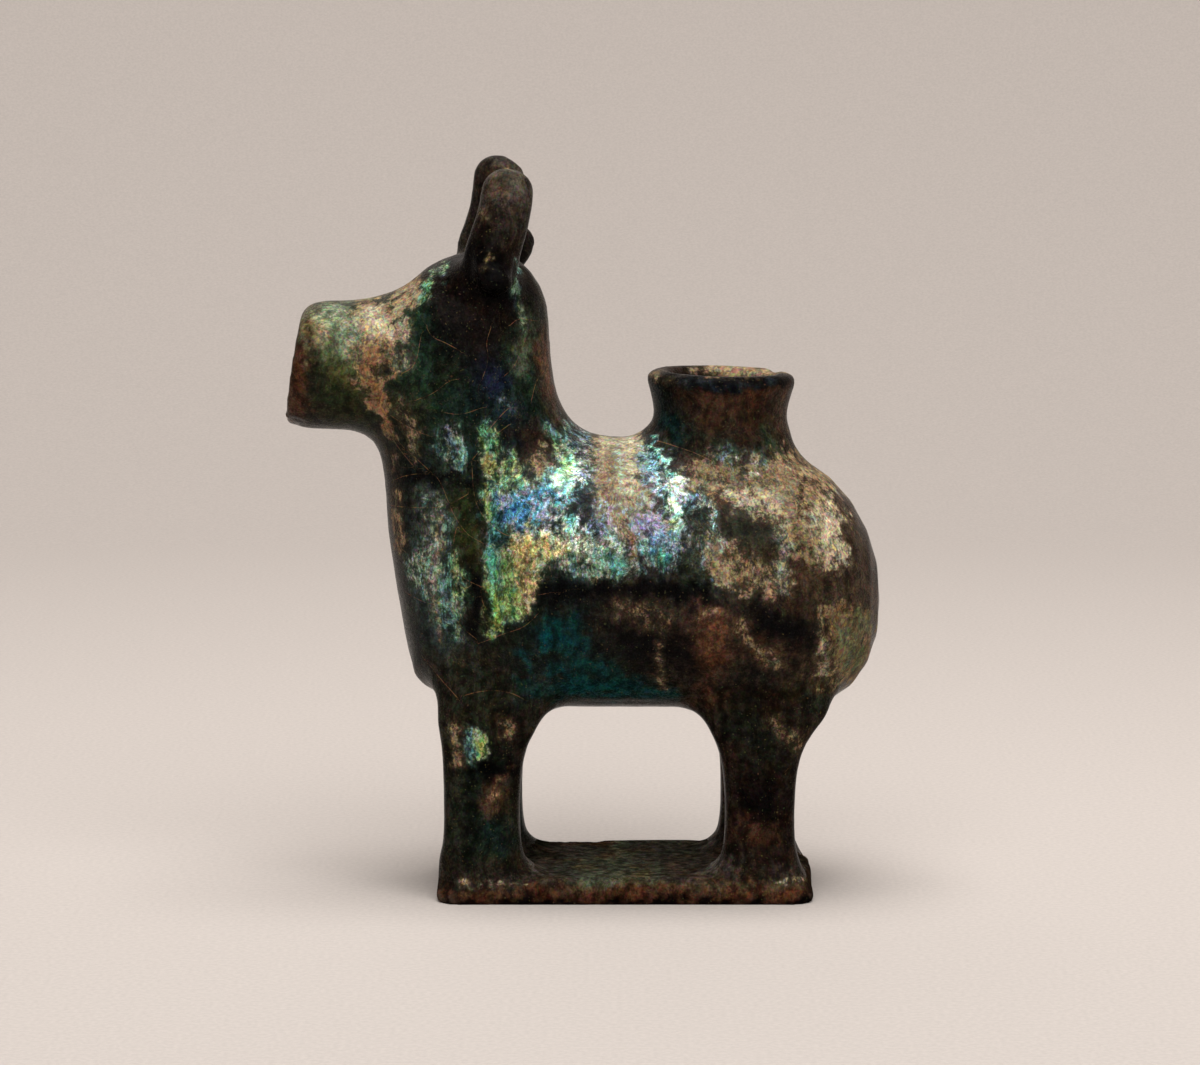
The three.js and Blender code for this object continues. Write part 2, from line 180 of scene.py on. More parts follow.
tones = {
    "inkGreen": (17, 24, 18), "deepTeal": (8, 25, 25), "teal": (4, 54, 56), "seaGreen": (26, 46, 34),
    "olive": (31, 37, 19), "moss": (28, 30, 22), "umber": (24, 17, 13), "rust": (84, 56, 39),
    "soot": (4, 4, 5), "slate": (21, 27, 32), "clay": (30, 19, 13), "drab": (40, 34, 28),
    "bark": (54, 43, 32), "pewter": (54, 64, 60), "sage": (98, 108, 84), "night": (18, 22, 50),
    "tan": (152, 128, 98), "buff": (150, 136, 112), "cream": (200, 186, 156), "ochre": (108, 90, 62),
    "sienna": (138, 100, 68), "chalk": (172, 174, 150), "ash": (78, 72, 64), "lichen": (80, 88, 58),
    "green": (112, 184, 96), "lime": (148, 180, 62), "gold": (232, 206, 122), "rose": (214, 186, 130),
    "cyan": (104, 216, 206), "blue": (44, 106, 178), "steel": (64, 102, 132), "violet": (122, 124, 188),
    "silver": (142, 168, 160), "white": (224, 240, 216),
}


def linear(tone):
    share = np.array(tones[tone]) / 255
    return np.where(share <= 0.04045, share / 12.92, ((share + 0.055) / 1.055) ** 2.4)


def colourOf(tone):
    return (*linear(tone), 1.0)


# the glaze: a dark glass over the clay, with a chalky crust and an iridescent film that come and go; in
# places both carry painted highlights

finish = {
    "ior": 1.26, "roughness": 0.2, "roughSpread": (-0.06, 0.14),
    "crustRoughness": 0.65, "wearRoughness": 0.25,  # wear adds to what is there
    "crustAndHighlightShare": 0.9, "filmAndHighlightShare": 0.95, "filmMetal": 0.5, "filmAndHighlightStrength": 0.74, "haze": 0.4,
    "flake": 1.3, "shard": 2.3, "shardStretch": (1.0, 1.0, 0.7),  # cells per mm
    "warmPatch": (1.18, 0.95, 0.8, 1.0), "warmRange": (0.45, 0.9),
    "coolPatch": (0.72, 0.86, 0.98, 1.0), "coolRange": (0.45, 0.85),
    "spectrum": ["blue", "cyan", "green", "gold", "rose", "violet"],
    "spectrumShare": 0.24, "flakeHue": 0.3,
    "speckTone": "ochre", "otherSpeckTone": "lichen", "speckShare": 0.4, "speckScale": 1.5,
    "speckSize": (0.2, 0.45), "speckRagged": 0.25, "speckChosen": (0.72, 0.8), "speckle": 0.55,
    "crackTone": "sienna", "crackWidth": 0.085, "crackCore": 0.35, "wearTone": "ash", "wearShare": 0.4,
    "bump": 0.4, "bumpHeight": 0.4 * mm,
    "mottleBump": 0.35, "grainBump": 0.16, "crustBump": 0.3, "crackBump": -0.3,
    "wanderScale": 0.16, "wanderDetail": 3.0, "wander": 5.0,  # mm across which the runs stray
    "runStretch": 0.09,  # the smaller, the longer the runs are down the wall
}
gloss = {  # of each slot's glaze, from 0, dead matt
    "body_glaze": 0.1, "head_glaze": 0.1, "muzzle_glaze": 0.12, "collar_glaze": 0.05, "horn_clay": 0.05,
    "leg_glaze": 0.02, "slab_clay": 0.0,
}
textures = {  # noise: how its place is bent, cells per mm, detail, roughness
    "patch": ("plain", 0.16, 4, 0.55), "mottle": ("plain", 0.5, 5, 0.6), "grain": ("plain", 2, 4, 0.65),
    "streak": ("drawn", 0.55, 6, 0.65), "hair": ("drawn", 2, 4, 0.65), "hue": ("drawn", 0.3, 4, 0.6),
    "tint": ("warped", 0.4, 4, 0.6),
}
textureRange = (0.28, 0.72)  # noise values that are stretched to 0 and 1
lights = {  # of each layer: a texture's low and high value, and the light that they give
    "glass": {"streak": (0, 1, 0.6, 1.45), "mottle": (0.05, 0.95, 0.55, 1.5), "grain": (0, 1, 0.82, 1.18)},
    "crustAndHighlight": {"shardLight": (0, 1, 0.8, 1.16), "grain": (0, 1, 0.82, 1.14),
              "mottle": (0, 1, 0.68, 1.32), "streak": (0, 1, 0.84, 1.2)},
    "filmAndHighlight": {"hair": (0, 1, 0.6, 1.35), "shardSheen": (0, 1, 0.7, 1.28),
             # flakeLight lifts the brightest flakes of the film further: painted glints
             "mottle": (0.1, 0.9, 0.4, 1.5), "flakeLight": (0.8, 1, 0.92, 1.6)},
    "crack": {"mottle": (0.15, 0.75, 0.05, 0.6)},
}
breaks = {  # how much each texture breaks up a layer, and how soft the edges of its flakes are
    "crustAndHighlight": ({"patch": 0.25, "mottle": 0.45, "streak": 0.5, "grain": 0.25, "shardEdge": 0.25}, 0.3),
    "filmAndHighlight": ({"hair": 0.4, "mottle": 0.4, "streak": 0.35, "grain": 0.12, "shardEdge": 0.3}, 0.3),
    "wear": ({"grain": 0.6, "mottle": 0.6}, 0.25),
}
thinCover = 0.35  # a cover below this is broken up less


def noiseTexture(tree, vector, scale, detail=4.0, roughness=0.55):
    sockets = {"Vector": vector, "Scale": scale, "Detail": detail, "Roughness": roughness}
    return addNode(tree, "ShaderNodeTexNoise", sockets).outputs[0]


def ramp(tree, value, low, high, start=0.0, end=1.0):
    sockets = {0: value, 1: low, 2: high, 3: start, 4: end}
    return addNode(tree, "ShaderNodeMapRange", sockets, interpolation_type="SMOOTHSTEP").outputs[0]


def blend(tree, share, under, over, mode="MIX"):
    node = addNode(tree, "ShaderNodeMix", {0: share, 6: under, 7: over}, data_type="RGBA", blend_type=mode)
    return node.outputs[2]


def makeGlaze(slot):
    material = bpy.data.materials.new(slot)
    material.use_nodes = True
    tree = material.node_tree
    tree.nodes.clear()
    plain = scaled(tree, addNode(tree, "ShaderNodeTexCoord").outputs["Object"], 1 / mm)
    wander = addNode(tree, "ShaderNodeTexNoise", {
        "Vector": plain, "Scale": finish["wanderScale"], "Detail": finish["wanderDetail"]}).outputs["Color"]
    wander = scaled(tree, vectorCalc(tree, "SUBTRACT", wander, (0.5, 0.5, 0.5)), finish["wander"])
    warped = vectorCalc(tree, "ADD", plain, wander)
    drawn = vectorCalc(tree, "MULTIPLY", warped, (1.0, 1.0, finish["runStretch"]))  # long, as glaze runs
    bent = {"plain": plain, "warped": warped, "drawn": drawn}

    def paint(name):
        return addNode(tree, "ShaderNodeAttribute", attribute_name=name).outputs

    def cells(vector, scale):  # a cell pattern, and three numbers that each cell has to itself
        pattern = addNode(tree, "ShaderNodeTexVoronoi", {"Vector": vector, "Scale": scale}).outputs
        return pattern, addNode(tree, "ShaderNodeSeparateColor", {0: pattern["Color"]}).outputs

    def ragged(layer, cover):  # a cover from 0 to 1 breaks up into flakes in a thin haze
        weights, edge = breaks[layer]
        broken = 0.0
        for name, weight in weights.items():
            broken = calc(tree, "MULTIPLY_ADD", calc(tree, "SUBTRACT", value[name], 0.5), weight, broken)
        level = calc(tree, "MULTIPLY_ADD", broken, ramp(tree, cover, 0.0, thinCover), cover)
        flaked = ramp(tree, level, 0.5 - edge, 0.5 + edge)
        flaked = product(tree, flaked, 1 - finish["haze"])
        return calc(tree, "MULTIPLY_ADD", cover, finish["haze"], flaked)

    def lightOn(layer):
        return product(tree, *[ramp(tree, value[name], *limits) for name, limits in lights[layer].items()])

    value = {}
    for name, (bend, scale, detail, roughness) in textures.items():
        value[name] = ramp(tree, noiseTexture(tree, bent[bend], scale, detail, roughness), *textureRange)
    shards, own = cells(vectorCalc(tree, "MULTIPLY", warped, finish["shardStretch"]), finish["shard"])
    value.update({"shardEdge": own[0], "shardLight": own[1], "shardSheen": own[2]})
    own = cells(warped, finish["flake"])[1]
    value.update({"flakeHue": own[1], "flakeLight": own[2]})
    filmAndHighlight, crustAndHighlight = paint("filmAndHighlight"), paint("crustAndHighlight")

    # glass
    glass = scaled(tree, paint("undertone")["Color"], lightOn("glass"))
    warm = ramp(tree, value["patch"], *finish["warmRange"])
    glass = blend(tree, warm, glass, finish["warmPatch"], "MULTIPLY")

    # crust, which in places is a painted highlight
    crustAndHighlightMask = ragged("crustAndHighlight", crustAndHighlight["Alpha"])
    cool = ramp(tree, value["tint"], *finish["coolRange"])
    crustAndHighlightTone = blend(tree, cool, crustAndHighlight["Color"], finish["coolPatch"], "MULTIPLY")
    crustAndHighlightTone = scaled(tree, crustAndHighlightTone, lightOn("crustAndHighlight"))
    colour = blend(tree, product(tree, crustAndHighlightMask, finish["crustAndHighlightShare"]), glass, crustAndHighlightTone)

    # film, in flakes that each have their own tint and strength; it is partly a painted highlight
    filmAndHighlightMask = ragged("filmAndHighlight", filmAndHighlight["Alpha"])
    hue = plus(tree, value["hue"], value["flakeHue"], finish["flakeHue"])
    hue = calc(tree, "SUBTRACT", hue, finish["flakeHue"] / 2)
    spectrum = addNode(tree, "ShaderNodeValToRGB", {0: hue})
    band = spectrum.color_ramp
    while len(band.elements) < len(finish["spectrum"]):
        band.elements.new(0.5)
    for i, (stop, tone) in enumerate(zip(band.elements, finish["spectrum"])):
        stop.position = i / (len(finish["spectrum"]) - 1)
        stop.color = colourOf(tone)
    filmAndHighlightTone = blend(tree, finish["spectrumShare"], filmAndHighlight["Color"], spectrum.outputs[0])
    filmAndHighlightTone = scaled(tree, filmAndHighlightTone, product(tree, lightOn("filmAndHighlight"), finish["filmAndHighlightStrength"]))
    colour = blend(tree, product(tree, filmAndHighlightMask, finish["filmAndHighlightShare"]), colour, filmAndHighlightTone)

    # hairlines, from each point's signed distance to the nearest one
    width = finish["crackWidth"]
    away = calc(tree, "ABSOLUTE", paint("crack")["Fac"])
    crackMask = ramp(tree, away, finish["crackCore"] * width, width, 1.0, 0.0)
    crackMask = product(tree, crackMask, lightOn("crack"))
    colour = blend(tree, crackMask, colour, colourOf(finish["crackTone"]))

    # specks of scale, and a fine speckle in every tint
    specks, own = cells(warped, finish["speckScale"])
    away = plus(tree, specks["Distance"], value["grain"], finish["speckRagged"])
    speckMask = product(tree, ramp(tree, away, *finish["speckSize"], 1.0, 0.0),
                        ramp(tree, own[0], *finish["speckChosen"]), finish["speckShare"])
    speckTone = blend(tree, own[1], colourOf(finish["speckTone"]), colourOf(finish["otherSpeckTone"]))
    colour = blend(tree, speckMask, colour, speckTone)
    swing, least = finish["speckle"], 1 - finish["speckle"] / 2
    speckle = vectorCalc(tree, "MULTIPLY_ADD", shards["Color"], (swing,) * 3, (least,) * 3)
    colour = vectorCalc(tree, "MULTIPLY", colour, speckle)

    # wear on edges
    wearMask = product(tree, ragged("wear", paint("wear")["Fac"]), finish["wearShare"])
    colour = blend(tree, wearMask, colour, colourOf(finish["wearTone"]))

    least, most = [finish["roughness"] + shift for shift in finish["roughSpread"]]
    rough = ramp(tree, value["grain"], 0.0, 1.0, least, most)
    rough = plus(tree, rough, crustAndHighlightMask, finish["crustRoughness"] - finish["roughness"])
    rough = plus(tree, rough, wearMask, finish["wearRoughness"], clamp=True)

    height = product(tree, value["mottle"], finish["mottleBump"])
    height = plus(tree, height, value["grain"], finish["grainBump"])
    height = plus(tree, height, crustAndHighlightMask, finish["crustBump"])
    height = plus(tree, height, crackMask, finish["crackBump"])
    bump = addNode(tree, "ShaderNodeBump", {
        "Strength": finish["bump"], "Distance": finish["bumpHeight"], "Height": height})

    shader = addNode(tree, "ShaderNodeBsdfPrincipled", {
        "Base Color": colour, "Metallic": product(tree, filmAndHighlightMask, finish["filmMetal"]), "Roughness": rough,
        "Normal": bump.outputs[0], "IOR": finish["ior"], "Specular IOR Level": gloss[slot]})
    addNode(tree, "ShaderNodeOutputMaterial", {"Surface": shader.outputs[0]})
    return material


glazes = {slot: makeGlaze(slot) for slot in gloss}


# the cast: all pieces luted into one skin, which is finished by hand and then parted again

cast = {
    "weld": 0.004,  # mm
    "grow": 0.24,   # mm, closes the luting gaps before the skin is laid over
    "corner": 1.6,  # how much farther than a face a sharp corner may grow
    "voxel": 0.66,  # mm
    "rounds": 130,  # low-pass rounds that take the facets out
    "keep": 0.5,    # strength of a round
    "swell": 1.06,  # the step back, as a share of the shrinking step
}
joints = {  # mm from a joint over which the clay of two pieces is smeared together
    "body_barrel": 15, "head": 15, "chest": 15, "muzzle_spout": 10, "filler_collar": 5, "legs": 9,
    "base_slab": 4.5, "left_horn": 6, "right_horn": 6, "left_ear_stump": 2.5, "right_ear": 3,
}
smear = {"rounds": 260, "strength": 0.6, "core": 0.2}  # core: the share of that width that is smeared fully


def grownCopy(name, grow):
    copy = bmesh.new()
    copy.from_mesh(nodes[name].data)
    bmesh.ops.remove_doubles(copy, verts=copy.verts, dist=cast["weld"] * mm)
    copy.normal_update()
    shifts = [vert.normal * min(vert.calc_shell_factor(), cast["corner"]) * grow * mm for vert in copy.verts]
    for vert, shift in zip(copy.verts, shifts):
        vert.co += shift
    mesh = bpy.data.meshes.new(name + "_grown")
    copy.to_mesh(mesh)
    copy.free()
    return mesh


def meanAround(mesh):  # a function that averages each point's neighbours
    ends = np.empty(len(mesh.edges) * 2, np.int32)
    mesh.edges.foreach_get("vertices", ends)
    a, b = ends.reshape(-1, 2).T
    count = len(mesh.vertices)
    degree = np.bincount(ends, minlength=count)[:, None]

    def mean(values):
        total = [np.bincount(a, values[b, i], count) + np.bincount(b, values[a, i], count)
                 for i in range(values.shape[1])]
        return np.stack(total, 1) / degree
    return mean


def distanceTree():  # keeps each point's distance to every piece
    tree, sizes = newGeometryTree("pieceDistances", [])
    geometry = sizes["Geometry"]
    for name in nodes:
        solid = addNode(tree, "GeometryNodeObjectInfo", {"Object": nodes[name]}).outputs["Geometry"]
        away = addNode(tree, "GeometryNodeProximity", {0: solid}, target_element="FACES").outputs["Distance"]
        geometry = addNode(tree, "GeometryNodeStoreNamedAttribute",
                           {"Geometry": geometry, "Name": "to_" + name, "Value": away},
                           data_type="FLOAT", domain="POINT").outputs[0]
    endTree(tree, geometry, glazes["body_glaze"])
    return tree


def softenJoints(mesh):
    away = np.empty((len(nodes), len(mesh.vertices)), np.float32)
    for row, name in zip(away, nodes):
        mesh.attributes["to_" + name].data.foreach_get("value", row)
        mesh.attributes.remove(mesh.attributes["to_" + name])
    away /= mm
    nearest = np.argsort(away, axis=0)[:2]
    reach = np.array([joints.get(name, joints["legs"]) for name in nodes])
    width = np.minimum(reach[nearest[0]], reach[nearest[1]])
    second = np.take_along_axis(away, nearest, 0)[1]
    soft = (1 - smoothStep(smear["core"], 1.0, second / width))[:, None]
    mean = meanAround(mesh)
    places = coordinates(mesh)
    for step in range(smear["rounds"]):
        places += smear["strength"] * soft * (mean(places) - places)
    for step in range(2 * cast["rounds"]):  # low pass: a shrinking step, then a swelling one
        factor = cast["keep"] if step % 2 == 0 else -cast["keep"] * cast["swell"]
        places += factor * (mean(places) - places)
    setCoordinates(mesh, places)
    keepValue(mesh, "joint", second)


def fuseCast():
    whole = bmesh.new()
    for name in nodes:
        part = grownCopy(name, cast["grow"])
        whole.from_mesh(part)
        bpy.data.meshes.remove(part)
    mesh = bpy.data.meshes.new("cast")
    whole.to_mesh(mesh)
    whole.free()
    obj = newObject("cast", mesh)
    laid = obj.modifiers.new("skin", "REMESH")
    laid.mode = "VOXEL"
    laid.voxel_size = cast["voxel"] * mm
    takeEvaluated(obj)
    report(f"skin of {len(obj.data.vertices)} points")
    runTree(obj, distanceTree(), {})
    softenJoints(obj.data)
    report("joints smeared")
    return obj


# the potter's hand: uneven walls, and grooves where two pieces were luted together

hand = {
    "Wave height": 0.5 * mm, "Wave size": 24 * mm,
    "Dent height": 0.16 * mm, "Dent size": 7 * mm,
    "Grain height": 0.05 * mm, "Grain size": 2.2 * mm,
    "Groove depth": 0.12 * mm, "Groove width": 0.9 * mm,
}
handNoise = {
    "firstSeed": 3.0, "detail": 1.0,
    "grooveSeed": 9.0, "grooveDetail": 2.0, "grooveShare": 0.55, "grooveSwing": 2.0,  # grooves come and go
}


def noiseAt(tree, size, seed, detail):
    sockets = {"Scale": calc(tree, "DIVIDE", 1.0, size), "W": seed, "Detail": detail}
    texture = addNode(tree, "ShaderNodeTexNoise", sockets, noise_dimensions="4D")
    return calc(tree, "SUBTRACT", texture.outputs[0], 0.5)


def handTree():
    tree, sizes = newGeometryTree("pottersHand", list(hand.items()))
    second = addNode(tree, "GeometryNodeInputNamedAttribute", {"Name": "joint"}, data_type="FLOAT").outputs[0]
    near = calc(tree, "DIVIDE", product(tree, second, mm), sizes["Groove width"])
    groove = calc(tree, "EXPONENT", product(tree, -1.0, near, near))
    swing = noiseAt(tree, sizes["Dent size"], handNoise["grooveSeed"], handNoise["grooveDetail"])
    patchy = plus(tree, handNoise["grooveShare"], swing, handNoise["grooveSwing"], clamp=True)
    height = product(tree, -1.0, groove, patchy, sizes["Groove depth"])
    for step, part in enumerate(("Wave", "Dent", "Grain")):
        swing = noiseAt(tree, sizes[part + " size"], handNoise["firstSeed"] + step, handNoise["detail"])
        height = plus(tree, height, swing, sizes[part + " height"])
    offset = scaled(tree, addNode(tree, "GeometryNodeInputNormal").outputs[0], height)
    moved = addNode(tree, "GeometryNodeSetPosition", {"Geometry": sizes["Geometry"], "Offset": offset})
    endTree(tree, moved.outputs[0], glazes["body_glaze"])
    return tree


# marks of making, use and breakage: each is a ragged hollow along a line, or a ridge if its depth is below 0

marks = [  # name, from and to in mm, radius, depth
    ("horn root smeared down", (-28.5, -18.0, 139.5), (-29.0, -19.5, 134.5), 6.0, -1.2),
    ("far horn root", (-28.5, 18.0, 139.5), (-29.0, 19.5, 134.5), 6.0, -1.2),
    ("ear scar", (-28.3, -20.5, 139.5), (-29.3, -21.0, 137.5), 3.2, 0.9),
    ("chip in the rim", (9.5, -11.0, 114.5), (10.5, -11.5, 114.5), 2.4, 0.5),
    ("chip at the back of the rim", (33.0, 8.0, 114.0), (34.0, 6.0, 114.0), 3.0, 0.6),
    ("worn muzzle lip", (-72.0, -6.0, 103.5), (-72.5, -2.0, 103.0), 3.0, 0.4),
    ("slab corner", (-40.5, -21.5, 4.5), (-40.0, -22.0, 4.5), 4.0, 0.7),
    ("slab edge", (-2.0, -22.5, 5.0), (5.0, -22.5, 5.0), 3.5, 0.5),
    ("slab edge, rear", (25.0, -22.5, 5.0), (30.0, -22.5, 5.0), 4.0, 0.4),
    ("far slab edge", (-16.0, 22.5, 5.2), (-8.0, 22.5, 5.2), 4.0, 0.5),
    ("knocked horn tip", (-24.0, 11.0, 160.0), (-23.5, 11.5, 160.0), 2.6, 0.35),
]
marking = {
    "reach": 1.5, "core": 0.35,  # in radii
    "noiseScale": 0.4, "raggedEdge": 0.45, "unevenDepth": 0.5,
    "flatBelow": 0.7, "flatNormal": -0.7,  # mm, and how far down the skin looks
    "reliefRounds": 10,
}


def makeMarks(mesh):
    places, outward = coordinates(mesh) / mm, normals(mesh)
    for name, start, end, radius, depth in marks:
        start, end = np.array(start), np.array(end)
        along = np.clip((places - start) @ (end - start) / ((end - start) @ (end - start)), 0, 1)
        away = np.linalg.norm(places - start - along[:, None] * (end - start), axis=1)
        near = np.nonzero(away < radius * marking["reach"])[0]
        ragged = np.array([noise.noise(Vector(places[i]) * marking["noiseScale"]) for i in near])
        edge = away[near] / radius + marking["raggedEdge"] * ragged * (depth > 0)
        share = 1 - smoothStep(marking["core"], 1.0, edge)
        places[near] -= outward[near] * (depth * share * (1 + marking["unevenDepth"] * ragged))[:, None]
    under = (places[:, 2] < marking["flatBelow"]) & (outward[:, 2] < marking["flatNormal"])
    places[under, 2] = 0  # the slab stands flat
    lowest, highest = np.array(cadBox[0]) / mm, np.array(cadBox[1]) / mm
    low, high = places.min(0), places.max(0)
    start, end = np.maximum(low, lowest), np.minimum(high, highest)
    places = start + (places - low) * (end - start) / (high - low)  # no larger than the solids
    setCoordinates(mesh, places * mm)


def keepRelief(mesh):  # mm that a point stands out from the clay around it
    places, mean = coordinates(mesh) / mm, meanAround(mesh)
    level = places
    for step in range(marking["reliefRounds"]):
        level = mean(level)
    keepValue(mesh, "relief", ((places - level) * normals(mesh)).sum(1))


def keepNormals(mesh):
    layer = mesh.attributes.new("skinNormal", "FLOAT_VECTOR", "POINT")
    layer.data.foreach_set("vector", normals(mesh).astype(np.float32).ravel())


# parting: each piece is what its node, grown a little, holds of the cast; the barrel is the rest

parting = {
    "grow": 1.3,   # mm that a piece takes of the clay around its node
    "crumb": 60,   # points; anything smaller that is cut loose is dropped
    "digits": 8,   # of a place in metres; points that agree in them are one
    "order": ["right_ear", "left_ear_stump", "left_horn", "right_horn", "muzzle_spout", "filler_collar",
              "left_foreleg", "right_foreleg", "left_hind_leg", "right_hind_leg",
              "base_slab", "chest", "head"],
}


def cutWith(obj, cutter, operation):
    cut = obj.modifiers.new(operation, "BOOLEAN")
    cut.operation = operation
    cut.solver = "MANIFOLD"
    cut.object = cutter
    takeEvaluated(obj)


def islandsOf(work):  # sets of points that hang together, the largest last
    left, islands = set(work.verts), []
    for first in work.verts:
        if first not in left:
            continue
        left.discard(first)
        island, edge = set(), [first]
        while edge:
            vert = edge.pop()
            island.add(vert)
            for link in vert.link_edges:
                other = link.other_vert(vert)
                if other in left:
                    left.discard(other)
                    edge.append(other)
        islands.append(island)
    return sorted(islands, key=len)


def cleanCut(mesh):  # drops crumbs, and the pairs of faces back to back that a cut leaves here and there
    work = bmesh.new()
    work.from_mesh(mesh)
    crumbs = [vert for island in islandsOf(work) if len(island) < parting["crumb"] for vert in island]
    bmesh.ops.delete(work, geom=crumbs, context="VERTS")
    bmesh.ops.triangulate(work, faces=work.faces)
    first, doubled = {}, []
    for face in work.faces:
        corners = frozenset(vert.co.to_tuple(parting["digits"]) for vert in face.verts)
        if corners in first:
            doubled += [first.pop(corners), face]
        else:
            first[corners] = face
    bmesh.ops.delete(work, geom=doubled, context="FACES")
    work.to_mesh(mesh)
    work.free()


def pointTree(mesh):
    tree = KDTree(len(mesh.vertices))
    for vert in mesh.vertices:
        tree.insert(vert.co, vert.index)
    tree.balance()
    return tree


def handOver(pieces):  # a ring of clay that is loose from the barrel goes to the piece that it touches
    trees = {name: pointTree(piece.data) for name, piece in pieces.items() if name != "body_barrel"}
    barrel = pieces["body_barrel"].data
    work = bmesh.new()
    work.from_mesh(barrel)
    rings = islandsOf(work)[:-1]
    for ring in rings:
        away = {name: sum(tree.find(vert.co)[2] for vert in ring) for name, tree in trees.items()}
        mesh = barrel.copy()
        part = bmesh.new()
        part.from_mesh(mesh)
        kept = {vert.index for vert in ring}
        others = [vert for vert in part.verts if vert.index not in kept]
        bmesh.ops.delete(part, geom=others, context="VERTS")
        part.to_mesh(mesh)
        part.free()
        loose = newObject("loose", mesh)
        cutWith(pieces[min(away, key=away.get)], loose, "UNION")
        bpy.data.objects.remove(loose)
    bmesh.ops.delete(work, geom=[vert for ring in rings for vert in ring], context="VERTS")
    work.to_mesh(barrel)
    work.free()


def partCast(obj):
    pieces = {}
    for name in parting["order"]:
        cutter = newObject("cutter", grownCopy(name, parting["grow"]))
        piece = newObject(name + "_piece", obj.data.copy())
        cutWith(piece, cutter, "INTERSECT")
        cutWith(obj, cutter, "DIFFERENCE")
        pieces[name] = piece
        bpy.data.objects.remove(cutter)
    obj.name = "body_barrel_piece"
    pieces["body_barrel"] = obj
    for piece in pieces.values():
        cleanCut(piece.data)
    handOver(pieces)
    for piece in pieces.values():
        cleanCut(piece.data)
    return pieces


# paint: strokes in the side view, as x and z in mm on the animal's left; the right side gets them shifted

strokes = []  # layer, tone, from x and z, to x and z, radius, strength


def addStrokes(layer, rows):
    strokes.extend((layer, *row) for row in rows)


